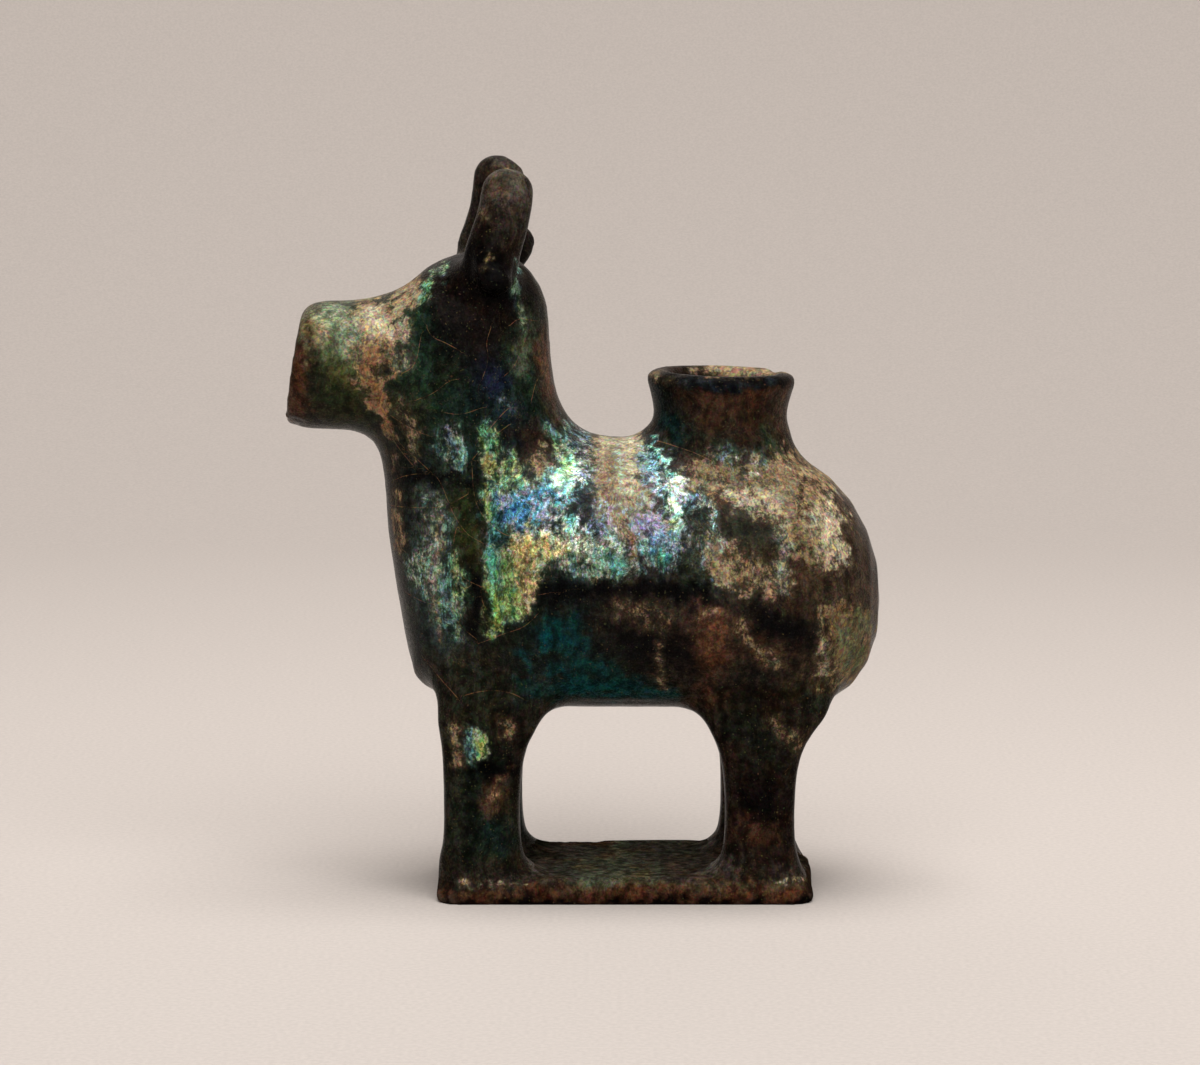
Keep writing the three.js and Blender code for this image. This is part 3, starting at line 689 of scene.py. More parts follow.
addStrokes("undertone", [
    # head and neck
    ("inkGreen", -36, 124.5, -31.5, 103, 26, 1), ("seaGreen", -46, 112.5, -38, 100.5, 9, 0.5),
    ("olive", -64, 122.5, -59, 109.5, 10, 0.95), ("lichen", -65, 122.5, -61, 117.5, 4.6, 0.5),
    ("inkGreen", -66.5, 106, -56, 105, 4, 0.25), ("umber", -70, 129, -72.5, 105, 4.6, 0.9),
    ("rust", -71, 120, -72.5, 106.5, 2.8, 0.45), ("umber", -68.5, 129.5, -66.5, 126.5, 3.6, 0.6),
    ("olive", -64, 131, -48, 132, 3.4, 0.75), ("umber", -40, 131, -26, 125.5, 8, 0.9),
    ("umber", -33.5, 134.5, -27, 137, 8, 0.95), ("soot", -40, 126.5, -26.5, 119, 8, 0.85),
    ("seaGreen", -46, 127, -47, 116.5, 4.4, 0.8), ("seaGreen", -22.5, 131, -21.5, 109.5, 5, 0.75),
    ("rust", -17, 121, -14.5, 107.5, 3.4, 0.75), ("olive", -23.5, 106.5, -16.5, 101, 5, 0.7),
    ("moss", -47.5, 106, -40, 96.5, 6, 0.5), ("umber", -20.5, 100.5, -16, 96, 4.4, 0.85),
    # ochre and sage on the muzzle's top: a pale patch, lightened into a painted highlight
    ("ochre", -67.5, 126.5, -66, 123, 3, 0.7), ("sage", -64, 126.5, -59, 123, 4.6, 0.95),
    ("sage", -23.5, 133, -21.5, 124.5, 1.8, 0.52), ("sage", -21.5, 124.5, -23, 116, 1.6, 0.5),
    ("night", -28.5, 115.5, -25.5, 105.5, 3.6, 0.45),
    # shoulder and chest
    ("inkGreen", -47.5, 89, -44, 59, 10, 0.95), ("slate", -42, 87, -40, 59, 7, 0.6),
    # pewter down the front of the chest (both strokes): a painted highlight
    ("pewter", -42.5, 87.5, -41, 78, 4.2, 0.7), ("pewter", -43.5, 73, -37.5, 66.5, 5, 0.7),
    ("deepTeal", -25, 97.5, -14, 76, 15, 0.8), ("slate", -23, 89, -15, 83.5, 8, 0.6),
    ("olive", -34.5, 89, -34, 76, 4.6, 0.85), ("umber", -50.5, 93.5, -49, 67.5, 2.4, 0.7),
    # pewter (second stroke): the painted highlight on the chest, lower down
    ("umber", -21.5, 100.5, -16, 98.5, 4, 0.85), ("pewter", -42, 64, -36.5, 55.5, 4.6, 0.7),
    # saddle and flank
    ("bark", 23.5, 90, 47, 70.5, 24, 0.95), ("inkGreen", -25, 62, -3.5, 51, 12, 0.9),
    ("deepTeal", -20.5, 61, -7.5, 54.5, 9, 0.7), ("teal", -18, 62, -16.5, 58, 1.5, 0.9),
    ("teal", -16, 63.5, -14, 61.5, 1.4, 0.8), ("teal", -11.5, 63, -10, 59.5, 1.5, 0.85),
    ("teal", -14, 59, -11.5, 56.5, 1.5, 0.85), ("teal", -9.5, 56.5, -8, 59, 1.1, 0.6),
    ("teal", -22, 55.5, -21, 52, 1.3, 0.85), ("teal", -23.5, 50, -22, 48.5, 1.4, 0.85),
    ("teal", -16, 51.5, -11, 49.5, 1.7, 0.8), ("teal", -10, 53, -3, 51, 1.6, 0.75),
    ("teal", -1.5, 49, 3, 49.5, 1.5, 0.5), ("teal", -22.5, 47, 9, 46, 2.4, 0.75),
    ("umber", 0.5, 62.5, 14, 55.5, 8, 0.95), ("soot", 1.5, 59.5, 14, 54.5, 5.4, 0.75),
    ("inkGreen", 23.5, 53.5, 40.5, 48, 8, 0.9), ("rust", 18.5, 65, 20, 47.5, 4.4, 0.85),
    ("rust", 30.5, 55.5, 38.5, 51, 5, 0.62), ("umber", 35.5, 70, 53, 68.5, 5.4, 0.6),
    ("bark", 45.5, 62, 49.5, 51.5, 6.2, 0.95), ("seaGreen", 25.5, 49.5, 41, 48, 5, 0.5),
    ("bark", 32, 54, 40, 50, 4.6, 0.7), ("slate", -8.5, 98.5, -8, 80.5, 3.4, 0.9),
    ("slate", 3, 89, 14, 76, 9, 0.75), ("slate", 5, 99, 8, 91, 5, 0.95),
    ("inkGreen", 14, 85.5, 14.5, 73.5, 5, 0.8), ("seaGreen", 14, 74.5, 15.5, 71.5, 2.2, 0.75),
    ("moss", 23.5, 99.5, 34.5, 97, 6, 0.85), ("seaGreen", 23.5, 98, 33, 96, 3, 0.45),
    ("moss", 23.5, 83.5, 31, 79.5, 5.4, 0.9), ("umber", 48, 95.5, 55.5, 82.5, 3.6, 0.85),
])
addStrokes("crustAndHighlight", [
    # head and neck
    ("tan", -46.5, 133.5, -49, 129, 2.4, 0.9), ("tan", -56.5, 128.5, -52, 127, 2.5, 1),
    ("tan", -56, 126, -52, 123.5, 2.8, 1), ("cream", -55, 127.5, -51.5, 124.5, 1.6, 0.7),
    ("sienna", -56.5, 121, -52.5, 118, 2.6, 0.95), ("sienna", -56, 116.5, -54, 110.5, 1.9, 0.9),
    # the cream at the end of this row and the chalk at the start of the next: a painted highlight on the
    # muzzle's top
    ("sienna", -54, 110.5, -51, 101.5, 1.2, 0.9), ("cream", -66.5, 126.5, -65.5, 123.5, 1.8, 0.26),
    ("chalk", -63, 127, -59, 124, 3, 0.16), ("tan", -65, 131, -44.5, 133, 1.4, 0.35),
    ("tan", -48.5, 110, -45.5, 101.5, 1.7, 0.28), ("tan", -46, 103.5, -45, 97, 1.3, 0.34),
    ("chalk", -48, 125, -47.5, 116.5, 1.6, 0.4),
    # shoulder and chest
    ("tan", -40.5, 84, -41, 67.5, 1, 0.5), ("tan", -41, 67.5, -40.5, 58, 1, 0.5),
    ("tan", -50.5, 95.5, -49.5, 76, 1.3, 0.4), ("tan", -19, 97.5, -17, 93, 2.8, 0.62),
    # saddle and flank
    ("buff", -5, 100, -4, 86.5, 4.2, 0.64), ("buff", -1.5, 98.5, -1, 88, 4.4, 0.64),
    ("cream", 1, 100, 1.5, 90.5, 3.2, 0.58), ("sienna", -4, 94.5, -2.5, 87.5, 2.2, 0.4),
    ("cream", -4.5, 100.5, 2, 100, 2, 0.5), ("buff", -2.5, 87.5, -0.5, 82.5, 3.4, 0.42),
    ("sienna", 3.5, 90.5, 0.5, 76.5, 1.2, 0.75), ("cream", 3.5, 89, 5, 84.5, 2.3, 0.55),
    ("ochre", 17, 93, 35.5, 91.5, 4.2, 0.74), ("tan", 16, 94, 20, 91.5, 2.6, 0.55),
    ("cream", 23, 88.5, 34.5, 87.5, 2.6, 0.62), ("tan", 34.5, 94, 41, 91.5, 4.2, 0.64),
    ("ochre", 36.5, 87, 40, 78, 5, 0.64), ("tan", 40, 89, 44, 86.5, 3, 0.4),
    ("cream", 43.5, 83.5, 45.5, 77, 3.6, 0.72), ("cream", 44.5, 85.5, 46.5, 82.5, 2.2, 0.5),
    ("tan", 20.5, 75, 30.5, 69.5, 5.2, 0.6), ("cream", 21, 69, 26, 67, 2.2, 0.48),
    ("tan", 16.5, 81, 20, 79, 2.2, 0.5), ("tan", 19, 74.5, 21.5, 71, 1.8, 0.5),
    ("cream", 42, 63.5, 43, 51, 1, 0.68), ("ochre", 46, 61.5, 49, 52.5, 5.6, 1),
    ("tan", 25, 62.5, 27.5, 57.5, 1.4, 0.55), ("tan", 29.5, 56, 32.5, 52.5, 1.7, 0.5),
    ("tan", 16.5, 65, 20.5, 65.5, 0.9, 0.5), ("tan", -1, 66.5, 7.5, 63.5, 3.6, 0.24),
    ("tan", 7.5, 57, 8, 47.5, 0.8, 0.5), ("chalk", 33, 83, 34, 70.5, 1.5, 0.5),
    ("lichen", 50, 62, 51, 52.5, 2.2, 0.6), ("sage", 47.5, 61, 48.5, 51.5, 1.1, 0.6),
    ("sienna", 42, 64.5, 50.5, 65.5, 0.8, 0.55),
])
# the film is laid where the lamps' reflection falls on the chest and flank, so it is partly an iridescent
# film and partly a painted highlight
addStrokes("filmAndHighlight", [
    # head and neck
    # green on the muzzle's top (first stroke): film, and a painted highlight
    ("green", -63, 126.5, -58.5, 122, 3, 0.22), ("green", -45, 127.5, -42, 133.5, 1.2, 0.48),
    ("green", -42, 133.5, -39, 138, 1, 0.48), ("green", -23.5, 133, -22, 124.5, 1.1, 0.25),
    ("lime", -23.5, 134.5, -22.5, 131.5, 0.9, 0.5), ("cyan", -23.5, 139, -23, 137.5, 0.9, 0.55),
    ("blue", -26, 110, -25, 107, 1, 0.35), ("steel", -38, 103, -36, 94, 2.8, 0.5),
    ("cyan", -36.5, 99.5, -35.5, 94, 1.7, 0.5),
    # shoulder and chest
    # silver down the front of the chest (this row and the first stroke of the next): film, brightened into a
    # painted highlight
    ("silver", -43, 87.5, -41.5, 78, 2.6, 0.3), ("silver", -39.5, 87.5, -38.5, 79.5, 1.6, 0.32),
    ("silver", -43.5, 73.5, -38.5, 67, 3.8, 0.68), ("green", -36.5, 74.5, -35, 67, 2.4, 0.55),
    ("green", -38.5, 65.5, -36.5, 59, 2.2, 0.36), ("green", -30, 104, -29.5, 95, 1.7, 0.72),
    ("lime", -30, 89.5, -29, 85.5, 1.6, 0.72), ("gold", -29, 98, -29, 93, 0.8, 0.65),
    ("green", -30.5, 86.5, -28, 82.5, 1.7, 0.7), ("lime", -26.5, 92, -23.5, 95.5, 2.4, 0.72),
    ("green", -25.5, 90.5, -22.5, 92.5, 1.8, 0.5), ("steel", -28.5, 79.5, -25, 74.5, 3.4, 0.62),
    ("rose", -21, 79, -20.5, 71, 3.4, 1), ("lime", -29, 73.5, -28.5, 61.5, 2.8, 0.92),
    ("green", -26, 73.5, -25, 65.5, 3.6, 0.94), ("rose", -22, 71.5, -22.5, 66, 1.8, 0.6),
    ("cyan", -29, 77, -28, 71.5, 2.2, 0.45), ("gold", -19, 79, -13, 78.5, 2.6, 1),
    ("gold", -23.5, 80.5, -20.5, 80, 1.6, 0.7), ("steel", -23.5, 91.5, -16, 90.5, 3.2, 0.5),
    ("blue", -25, 87.5, -16, 88, 3.6, 0.75), ("blue", -25.5, 84, -20, 84.5, 3, 0.72),
    # white (second stroke of this row and of the next two rows): painted highlights in the film
    ("steel", -19, 84.5, -15.5, 86.5, 2.2, 0.6), ("white", -11.5, 81.5, -8, 79, 2.8, 1),
    ("cyan", -11.5, 83.5, -10, 81.5, 1.8, 0.9), ("white", -10.5, 80.5, -8.5, 79.5, 1.8, 1),
    ("cyan", -14.5, 93.5, -10, 91, 2.8, 0.68), ("white", -15, 92, -10.5, 93, 1.7, 0.7),
    ("green", -14.5, 99.5, -12.5, 95, 2.2, 0.78), ("silver", -16, 102, -13, 100, 2.4, 0.52),
    ("violet", -10, 100.5, -8, 93.5, 2.8, 0.42), ("silver", -12.5, 76, -5.5, 72.5, 2.4, 0.55),
    # saddle and flank
    ("steel", 13, 88, 16, 76, 3.6, 0.42), ("silver", -2, 98, -0.5, 89, 1.6, 0.4),
    # white (second stroke): a painted highlight in the film
    ("violet", -7, 85.5, -2.5, 79, 3.8, 0.62), ("white", -3.5, 81, -2, 79.5, 1.7, 0.85),
    ("silver", -6, 78, -1, 74.5, 3, 0.75), ("cyan", -5.5, 77, -2, 74.5, 1.7, 0.55),
    ("violet", 4, 94.5, 7.5, 91.5, 2.8, 0.5), ("steel", 4.5, 98, 7.5, 93.5, 3.2, 0.4),
    ("cyan", 6.5, 101, 9.5, 93, 0.7, 0.75), ("violet", 5, 84, 8, 79, 4.4, 0.82),
    ("blue", 7.5, 79.5, 9, 75.5, 2.4, 0.75), ("cyan", 5, 79, 8, 76.5, 2.2, 0.5),
    ("green", 6, 76, 9, 75, 1.6, 0.42), ("cyan", 9.5, 87.5, 11, 82, 1.7, 0.8),
    # white (both strokes): painted highlights in the film
    ("white", 9.5, 87.5, 11, 85.5, 1.2, 0.95), ("white", 10.5, 91.5, 12, 90.5, 1.1, 0.95),
    ("lime", 8, 84, 9, 83, 1, 0.65), ("violet", 12.5, 89, 15, 88, 2, 0.55),
    ("silver", 18, 86.5, 20.5, 79, 1.5, 0.5), ("silver", 17.5, 71.5, 22, 69.5, 1.3, 0.45),
    ("violet", 33, 82.5, 34, 70.5, 1.4, 0.3), ("steel", 21.5, 97, 28.5, 95, 3, 0.3),
])
addStrokes("gap", [  # clears what lies on the glass; some strokes below paint shade and dark reflections
    # near black under the jaw (first stroke): painted shade. Near black down the front of the neck (second
    # stroke) and of the chest (last stroke of the next row): a dark run in the glaze, deepened as a painted
    # dark reflection
    ("soot", -50.5, 92, -33, 92.5, 1.9, 0.88), ("soot", -31.5, 103, -31.5, 84.5, 1.2, 0.65),
    ("deepTeal", -27, 85, -26.5, 78.5, 1.3, 0.8), ("soot", -32.5, 71.5, -32.5, 58.5, 3, 1),
    # ink green along the chest's lower curve (this row and the first stroke of the next): the painted dark
    # edge below the chest's highlight
    ("inkGreen", -28.5, 57.5, -23.5, 59.5, 1.6, 0.95), ("inkGreen", -23.5, 59.5, -19, 65.5, 2, 0.95),
    ("inkGreen", -19, 65.5, -16, 71.5, 1.8, 0.8), ("olive", -34.5, 88.5, -34, 76, 2.8, 0.75),
    # near black across the flank (last stroke of this row and both strokes of the next): the painted dark
    # edge below the flank's highlight
    ("umber", -20.5, 101, -16.5, 98.5, 2.4, 0.7), ("soot", -17.5, 68.5, -13, 69.5, 2.6, 0.95),
    ("soot", -13, 69, 16, 70, 2.6, 0.97), ("soot", 16, 69.5, 27, 66, 2.2, 0.88),
    ("slate", -8.5, 91.5, -8, 84.5, 1.8, 0.75), ("inkGreen", 14, 84.5, 14.5, 73.5, 3, 0.6),
    # near black (second stroke): the painted dark edge below the flank's highlight, where it drops towards
    # the rump
    ("moss", 24, 83.5, 31, 79.5, 4, 0.6), ("soot", 29.5, 63.5, 38.5, 59, 5, 1),
    ("bark", 38.5, 91.5, 38.5, 86.5, 1.2, 0.6), ("moss", 26, 95.5, 27, 89, 0.9, 0.5),
    ("bark", 20.5, 92, 21, 84.5, 1, 0.6), ("bark", 47.5, 81, 50, 78, 1.6, 0.6),
    ("bark", 37.5, 70.5, 52, 68.5, 4.4, 0.5), ("soot", 49, 77, 50, 75.5, 1.1, 0.7),
    ("umber", 48.5, 95.5, 55, 84, 2.6, 0.6), ("umber", 55, 83.5, 56.5, 67.5, 2.4, 0.7),
    ("soot", 2, 56.5, 14, 54, 3.4, 0.6),
])
addStrokes("undertone", [
    # collar
    ("clay", 8.5, 111, 33.5, 104.5, 11, 1), ("rust", 16, 110, 33.5, 110.5, 3, 0.22),
    ("soot", 6.5, 113.5, 36, 114, 2.2, 0.95), ("deepTeal", 7.5, 109, 11, 101.5, 3.6, 0.95),
    ("inkGreen", 11, 101, 23, 100, 1.8, 0.85), ("seaGreen", 31.5, 101, 33, 97.5, 1.8, 0.7),
    ("bark", 33, 108.5, 34.5, 102.5, 2.4, 0.6),
])
addStrokes("crustAndHighlight", [
    # collar
    ("ochre", 14, 107, 31.5, 104.5, 4.4, 0.12), ("tan", 7, 114, 10, 113.5, 1.5, 0.5),
    ("tan", 12, 118, 28.5, 118, 2.6, 0.9),
])
addStrokes("gap", [  # clears what lies on the glass
    ("soot", 10, 114, 36, 113.5, 1.4, 0.9),
])
addStrokes("undertone", [
    # collar
    ("slate", 12, 113, 31.5, 113, 0.9, 0.8), ("teal", 10, 104.5, 11.5, 101, 1.2, 0.24),
    # legs
    ("moss", -30.5, 44.5, -30.5, 7.5, 12, 1), ("inkGreen", -31.5, 31.5, -30.5, 9.5, 7, 0.7),
    ("umber", 28, 44.5, 31.5, 7.5, 13, 1), ("inkGreen", 26, 40.5, 31.5, 34, 6, 0.6),
    ("soot", 26, 24, 31.5, 22.5, 4.5, 0.8), ("soot", -31.5, 29.5, -24.5, 29, 3.2, 0.95),
    ("rust", -27, 27, -29, 21.5, 1.7, 0.5), ("umber", -26, 40, -23.5, 35.5, 3.2, 0.8),
    ("teal", -29.5, 16.5, -27, 12, 2, 0.16), ("rust", 26, 17.5, 30.5, 15, 2.4, 0.3),
    ("drab", -20.5, 31.5, -20.5, 12, 2.2, 0.8), ("drab", 21, 29.5, 20.5, 12, 1.6, 0.8),
    # slab
    # ash along the slab's top (second stroke): grey patches, lightened into a painted highlight
    ("drab", -42.5, 6, 38, 6, 2.8, 0.75), ("ash", -18.5, 8, 21.5, 7.5, 2.4, 0.55),
    ("seaGreen", -14, 7, 7.5, 6.5, 1.6, 0.35), ("clay", -42.5, 1, 41, 0.5, 2.8, 0.9),
    ("rust", -40, 2, 38, 2, 1.8, 0.42), ("sage", -10, 5, 7.5, 4.5, 1.1, 0.32),
    # the near-black line along the foot of the slab is a painted contact shadow; the thin ochre line is a
    # painted highlight just under the top edge
    ("ochre", -14, 4, 39, 4, 0.7, 0.22), ("soot", -40, 0, 40.5, 0, 1.1, 0.95),
    # horns
    ("umber", -31.5, 159, -26, 133, 12, 1), ("drab", -30, 158.5, -26, 145, 9, 0.7),
    # ash on the horn tops is worn grey, lightened into a painted highlight; the near black at the horn root
    # is painted shade under the horn
    ("ash", -29.5, 158.5, -24.5, 155, 6, 0.55), ("soot", -31.5, 140, -27, 133, 8, 0.95),
])
addStrokes("crustAndHighlight", [
    # legs
    ("tan", -37.5, 39.5, -36.5, 31, 1.3, 0.46), ("sienna", -26.5, 27.5, -29, 22, 1.2, 0.34),
    ("ochre", -26.5, 40, -24.5, 36.5, 1.2, 0.34), ("ochre", 32.5, 38.5, 37, 35.5, 2.6, 0.3),
    # slab
    # cream and chalk along the slab's top front edge: a painted highlight
    ("cream", -36.5, 5, -21, 4.5, 0.6, 0.4), ("chalk", 32.5, 5.5, 39, 5, 0.6, 0.4),
    # horns
    ("ochre", -30.5, 150, -29.5, 149, 1.4, 0.25), ("tan", -33.5, 157, -36.5, 142, 1, 0.35),
    ("ochre", -31, 138.5, -29.5, 140, 0.8, 0.5),
])
addStrokes("filmAndHighlight", [
    # legs
    ("green", -32.5, 37.5, -31, 33.5, 1.2, 0.74), ("lime", -31.5, 36, -30.5, 34, 0.9, 0.7),
    ("steel", -34, 34.5, -33.5, 32, 1.2, 0.45), ("silver", -34, 39, -33, 36, 1.1, 0.5),
])

cracks = [  # hairlines in the glaze, as x and z in mm
    [(-50, 91.5), (-41.5, 93.5), (-39.5, 91.5), (-35.5, 82), (-31, 79), (-25.5, 77.5)],
    [(-33, 96.5), (-32.5, 92), (-31.5, 85.5), (-28.5, 82), (-24.5, 80.5), (-19, 81.5), (-14, 86),
     (-10, 92.5)],
    [(-49.5, 77), (-43.5, 74.5), (-38.5, 73), (-33.5, 70), (-29.5, 69), (-23, 68.5), (-17.5, 69)],
    [(-42, 65.5), (-37.5, 67), (-33.5, 69.5)], [(-38, 65.5), (-35.5, 61), (-32.5, 58.5)],
    [(-36.5, 82), (-37, 79), (-36.5, 75.5)], [(-24.5, 80), (-23.5, 76), (-21.5, 73), (-18, 75.5)],
    [(-31.5, 69), (-31, 65.5), (-29.5, 64)], [(-32, 57.5), (-27, 59), (-22.5, 61), (-19.5, 64)],
    [(-50.5, 104), (-49, 99.5), (-44.5, 96.5), (-40.5, 92.5)],
    [(-51, 86), (-44, 85.5), (-38.5, 86.5), (-33.5, 89.5)], [(-48, 67), (-43, 65.5), (-38.5, 65.5)],
    [(-33.5, 96), (-29.5, 100.5), (-25, 104)], [(-14, 88), (-11, 88.5), (-7.5, 89.5)],
    [(3, 101), (14, 98.5), (20, 95.5)], [(16, 84.5), (19.5, 81)],
    [(-35, 45.5), (-31, 47), (-26, 47), (-22, 44.5)], [(-43.5, 52.5), (-40, 48), (-36, 45)],
    [(-23.5, 78), (-20.5, 77), (-18, 75.5), (-17.5, 77)], [(-31, 88.5), (-28.5, 88), (-25.5, 88.5)],
    [(-48.5, 115.5), (-46, 117), (-44.5, 120), (-43.5, 123.5)],
    [(-45, 110), (-41, 111.5), (-38, 114), (-36, 114.5)], [(-26, 115.5), (-23.5, 118), (-22, 122)],
    [(-31.5, 100.5), (-28, 104), (-25, 107.5)], [(-51.5, 103), (-49.5, 99), (-46, 95)],
    [(-20.5, 109.5), (-19.5, 113), (-17, 115.5)], [(-30.5, 115), (-29.5, 119), (-30.5, 121.5), (-29.5, 125)],
    [(-42.5, 124.5), (-41.5, 122.5), (-39, 121.5), (-36, 120)],
    [(-25.5, 125.5), (-23.5, 127), (-20.5, 126.5)], [(-40, 107.5), (-35.5, 106.5), (-30, 108)],
    [(-52.5, 107), (-48, 104), (-42.5, 102.5)],
]
brush = {
    "seed": 4, "slowScale": 0.09, "quickScale": 0.3, "octaves": 3, "amplitude": 0.7,  # noise that bends them
    "slowBend": 1.1, "quickBend": (1.4, 1.8),  # mm, on the near side
    "farSlowBend": 6, "farCrackBend": 4, "farShift": (-7, 2),  # mm, on the far side
    "middle": 5,  # mm from the middle at which the other side's strokes end
    "reach": 2, "uneven": 0.45, "falloff": 1.1, "power": 2.4,  # of a stroke, in its radii
    "hollowDark": 0.6, "hollowDepth": (0.04, 0.25), "wearHeight": (0.2, 0.6),  # mm of relief
    "crackReach": 9.0,  # mm
}


def lineDistance(x, z, points):  # signed distance to a run of points; the sign tells the side
    best = np.full(len(x), np.inf)
    for (x0, z0), (x1, z1) in zip(points, points[1:]):
        dx, dz = x1 - x0, z1 - z0
        along = np.clip(((x - x0) * dx + (z - z0) * dz) / (dx ** 2 + dz ** 2), 0, 1)
        away = np.hypot(x - x0 - along * dx, z - z0 - along * dz)
        side = np.where((x - x0) * dz - (z - z0) * dx < 0, -1.0, 1.0)
        best = np.where(away < np.abs(best), side * away, best)
    return best


def rounded(points):  # cuts the corners of a run of points twice
    for step in range(2):
        cut = [points[0]]
        for (x0, z0), (x1, z1) in zip(points, points[1:]):
            cut.append((0.75 * x0 + 0.25 * x1, 0.75 * z0 + 0.25 * z1))
            cut.append((0.25 * x0 + 0.75 * x1, 0.25 * z0 + 0.75 * z1))
        points = cut + [points[-1]]
    return points


def aroundLine(x, z, start, end, reach):  # which points lie in the box around a line
    inX = np.abs(x - (start[0] + end[0]) / 2) < abs(start[0] - end[0]) / 2 + reach
    inZ = np.abs(z - (start[1] + end[1]) / 2) < abs(start[1] - end[1]) / 2 + reach
    return inX & inZ


def paintStrokes(sides, uneven):  # colour and cover of each layer
    count = len(uneven)
    layers = {
        "undertone": np.tile(np.append(linear("drab"), 1.0), (count, 1)),
        "crustAndHighlight": np.tile(np.append(linear("tan"), 0.0), (count, 1)),
        "filmAndHighlight": np.tile(np.append(linear("silver"), 0.0), (count, 1)),
    }
    for layer, tone, x0, z0, x1, z1, radius, strength in strokes:
        line = (x0, z0), (x1, z1)
        cover = np.zeros(count)
        for x, z, side in sides:
            near = np.nonzero(aroundLine(x, z, *line, brush["reach"] * radius) & (side > 0))[0]
            away = np.abs(lineDistance(x[near], z[near], line)) / radius * uneven[near]
            cover[near] += side[near] * strength * np.exp(-brush["falloff"] * away ** brush["power"])
        under = layers["undertone" if layer == "gap" else layer]
        under[:, :3] += (linear(tone) - under[:, :3]) * cover[:, None]
        if layer == "gap":
            layers["crustAndHighlight"][:, 3] *= 1 - cover
            layers["filmAndHighlight"][:, 3] *= 1 - cover
        elif layer != "undertone":
            under[:, 3] += (1 - under[:, 3]) * cover
    return layers


def crackDistance(x, z):
    crack = np.full(len(x), brush["crackReach"])
    for points in cracks:
        away = lineDistance(x, z, rounded(points))
        crack = np.where(np.abs(away) < np.abs(crack), away, crack)
    return crack


def paintPiece(mesh):
    places = coordinates(mesh) / mm
    x, y, z = places.T
    slow = np.array([noise.noise_vector(Vector(place) * brush["slowScale"]) for place in places])
    quick = np.array([noise.turbulence_vector(Vector(place) * brush["quickScale"], brush["octaves"], False,
                                              amplitude_scale=brush["amplitude"]) for place in places])
    relief = np.empty(len(places), np.float32)
    mesh.attributes["relief"].data.foreach_get("value", relief)

    bend, (fringeX, fringeZ) = brush["slowBend"], brush["quickBend"]
    farBend, (shiftX, shiftZ) = brush["farSlowBend"], brush["farShift"]
    far = smoothStep(-brush["middle"], brush["middle"], y)
    nearX = x + bend * slow[:, 0] + fringeX * quick[:, 0]
    nearZ = z + bend * slow[:, 2] + fringeZ * quick[:, 2]
    farX = x + farBend * slow[:, 1] + quick[:, 0] + shiftX
    farZ = z + farBend * slow[:, 2] + quick[:, 2] + shiftZ
    layers = paintStrokes([(nearX, nearZ, 1 - far), (farX, farZ, far)], 1 + brush["uneven"] * quick[:, 1])
    undertone = layers["undertone"]
    hollowDark = brush["hollowDark"] * smoothStep(*brush["hollowDepth"], -relief)  # darker in the hollows
    undertone[:, :3] *= (1 - hollowDark)[:, None]
    for layer, values in layers.items():
        colours = mesh.color_attributes.new(layer, "FLOAT_COLOR", "POINT")
        colours.data.foreach_set("color", values.astype(np.float32).ravel())

    onFar = np.where(y > 0, 1, 0)
    bend = brush["slowBend"] + brush["farCrackBend"] * onFar
    keepValue(mesh, "crack", crackDistance(x + bend * slow[:, 0] + shiftX * onFar,
                                           z + bend * slow[:, 2] + shiftZ * onFar))
    bright = np.clip(undertone[:, 1] / linear("drab")[1], 0, 1)
    keepValue(mesh, "wear", smoothStep(*brush["wearHeight"], relief) * bright)


def skinNormals(mesh):  # normals of the whole skin, so that no parting line shows
    blended, lost = 0.5, 0.1  # lengths below which a cut has spoilt a normal or left none
    kept = vectorsOf(mesh.attributes["skinNormal"].data, "vector")
    weak = np.linalg.norm(kept, axis=1) < blended
    kept[weak] = meanAround(mesh)(kept)[weak]
    empty = np.linalg.norm(kept, axis=1) < lost
    kept[empty] = normals(mesh)[empty]
    kept /= np.linalg.norm(kept, axis=1)[:, None]
    mesh.normals_split_custom_set_from_vertices(kept.astype(np.float32))


noise.seed_set(brush["seed"])
castObject = fuseCast()
runTree(castObject, handTree(), hand)
makeMarks(castObject.data)
keepNormals(castObject.data)
keepRelief(castObject.data)
report("potter's hand and marks")
pieces = partCast(castObject)
report("parted into pieces")

slots = {
    "base_slab": "slab_clay", "body_barrel": "body_glaze", "chest": "head_glaze", "head": "head_glaze",
    "muzzle_spout": "muzzle_glaze", "filler_collar": "collar_glaze", "left_horn": "horn_clay",
    "right_horn": "horn_clay", "left_ear_stump": "horn_clay", "right_ear": "horn_clay",
    "left_foreleg": "leg_glaze", "right_foreleg": "leg_glaze", "left_hind_leg": "leg_glaze",
    "right_hind_leg": "leg_glaze",
}
for name, piece in pieces.items():
    piece.data.materials.clear()
    piece.data.materials.append(glazes[slots[name]])
    paintPiece(piece.data)
    skinNormals(piece.data)
    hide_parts(name)
    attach(piece, "root")
report("painted")


# camera, light and stage

view = {"aim": (-5.5, 0, 78.7), "distance": 924, "pitch": 7.1, "lens": 126, "sensor": 36}
camera = bpy.data.cameras.new("camera")
camera.lens = view["lens"]
camera.sensor_width = view["sensor"]
cameraObject = newObject("camera", camera)
pitch = math.radians(view["pitch"])
backward = Vector((0, -math.cos(pitch), math.sin(pitch)))
cameraObject.location = (Vector(view["aim"]) + view["distance"] * backward) * mm
cameraObject.rotation_euler = (math.pi / 2 - pitch, 0, 0)
bpy.context.scene.camera = cameraObject
bpy.context.scene.view_settings.view_transform = "Standard"

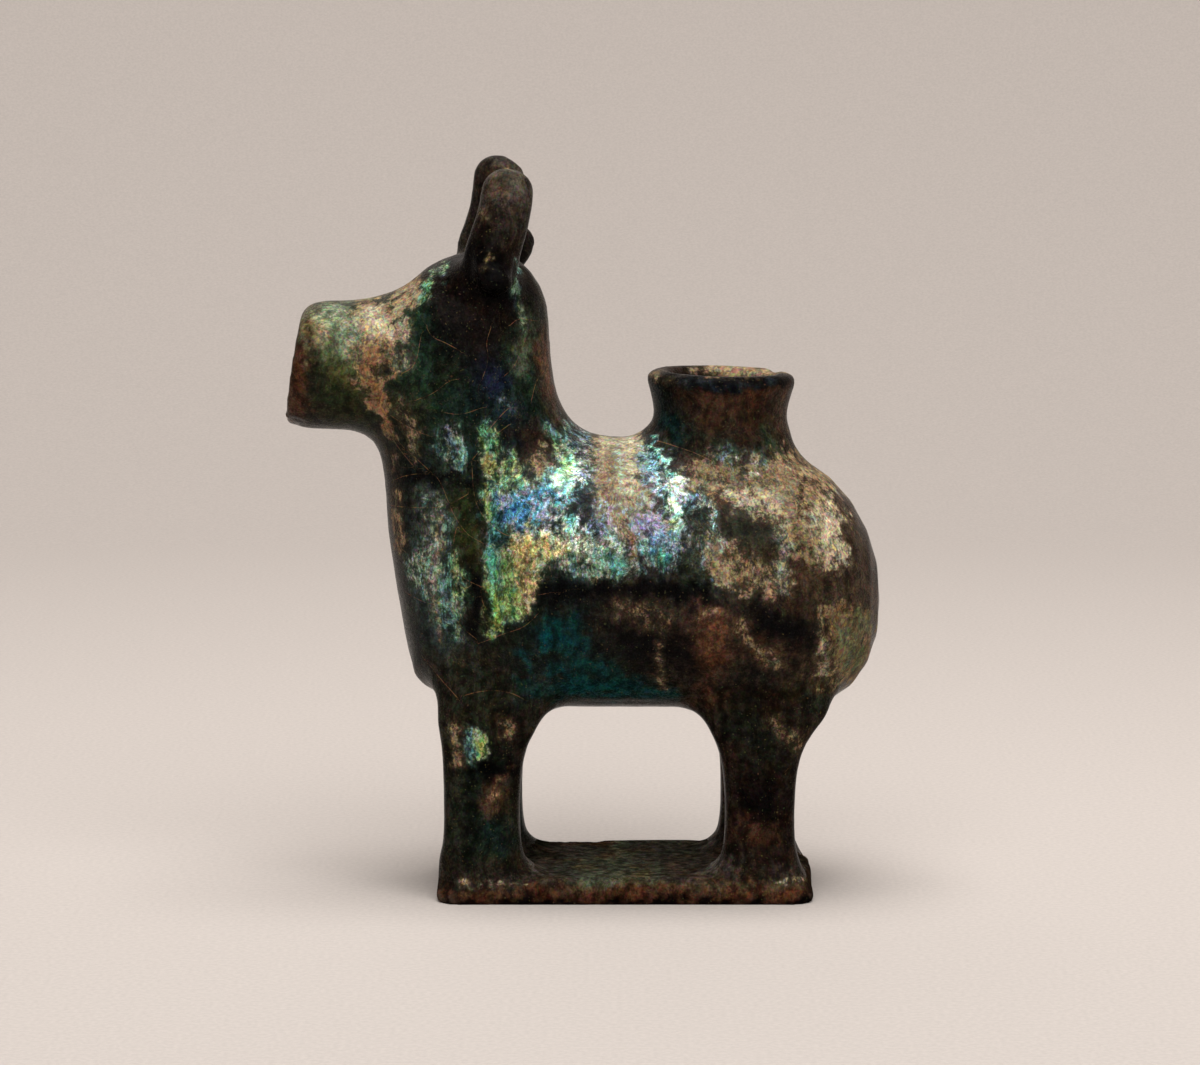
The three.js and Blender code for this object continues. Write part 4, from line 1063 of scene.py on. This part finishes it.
lamps = [  # name, place, aim, size in metres, watts, colour
    ("front", (0.2, -0.92, 1.08), (0, 0, 0.08), (1.6, 0.9), 16, (1.0, 0.98, 0.96)),
    ("top", (0.0, -0.05, 1.3), (0, 0.0, 0.0), (0.8, 0.7), 14, (1.0, 0.98, 0.96)),
    ("back", (-0.3, 1.3, 0.8), (0, 0, 0.1), (1.2, 0.8), 5, (1.0, 0.99, 0.98)),
]
for name, place, aim, size, watts, colour in lamps:
    lamp = bpy.data.lights.new(name, "AREA")
    lamp.shape = "RECTANGLE"
    lamp.size, lamp.size_y = size
    lamp.energy = watts
    lamp.color = colour
    lampObject = newObject(name, lamp)
    lampObject.location = place
    lampObject.rotation_euler = (Vector(aim) - lampObject.location).to_track_quat("-Z", "Y").to_euler()

roomTone = (0.03, 0.03, 0.03, 1)
world = bpy.data.worlds.new("room")
bpy.context.scene.world = world
world.use_nodes = True
world.node_tree.nodes["Background"].inputs["Color"].default_value = roomTone

stage = {  # lengths in metres
    "centre": (0.0, -0.4), "floorRadius": 1.0, "bend": 0.7, "height": 2.0, "steps": 20, "sides": 96,
    "tone": (0.565, 0.516, 0.482), "frontShade": 0.91, "frontY": -0.25, "backY": 0.15,
    "grain": 0.06, "grainScale": 900, "grainDetail": 2.0, "grainRange": (0.2, 0.8),
    "roughness": 0.9, "specular": 0.1,
}


def makePaper():
    paper = bpy.data.materials.new("paper")
    paper.use_nodes = True
    tree = paper.node_tree
    place = addNode(tree, "ShaderNodeTexCoord").outputs["Object"]
    depth = addNode(tree, "ShaderNodeSeparateXYZ", {0: place}).outputs["Y"]
    shade = ramp(tree, depth, stage["frontY"], stage["backY"], stage["frontShade"], 1.0)
    grain = noiseTexture(tree, place, stage["grainScale"], stage["grainDetail"])
    grain = ramp(tree, grain, *stage["grainRange"], 1 - stage["grain"], 1 + stage["grain"])
    shader = tree.nodes["Principled BSDF"]
    tone = scaled(tree, stage["tone"], product(tree, shade, grain))
    tree.links.new(tone, shader.inputs["Base Color"])
    shader.inputs["Roughness"].default_value = stage["roughness"]
    shader.inputs["Specular IOR Level"].default_value = stage["specular"]
    return paper


def makeStage():  # a round paper floor that bends up into a wall on every side
    profile = [(stage["floorRadius"], 0.0)]
    for i in range(1, stage["steps"] + 1):
        angle = math.pi / 2 * i / stage["steps"]
        outward, upward = stage["bend"] * math.sin(angle), stage["bend"] * (1 - math.cos(angle))
        profile.append((stage["floorRadius"] + outward, upward))
    profile.append((profile[-1][0], stage["height"]))
    work = bmesh.new()
    centreX, centreY = stage["centre"]
    turns = [2 * math.pi * i / stage["sides"] for i in range(stage["sides"])]
    rings = []
    for radius, z in profile:
        places = [(centreX + radius * math.cos(turn), centreY + radius * math.sin(turn), z) for turn in turns]
        rings.append([work.verts.new(place) for place in places])
    work.faces.new(rings[0])
    for low, high in zip(rings, rings[1:]):
        for i in range(stage["sides"]):
            j = (i + 1) % stage["sides"]
            work.faces.new((low[j], low[i], high[i], high[j]))
    mesh = bpy.data.meshes.new("paper_stage")
    work.to_mesh(mesh)
    work.free()
    mesh.shade_smooth()
    mesh.materials.append(makePaper())
    return newObject("paper_stage", mesh)


makeStage()
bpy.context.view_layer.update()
report("scene done")
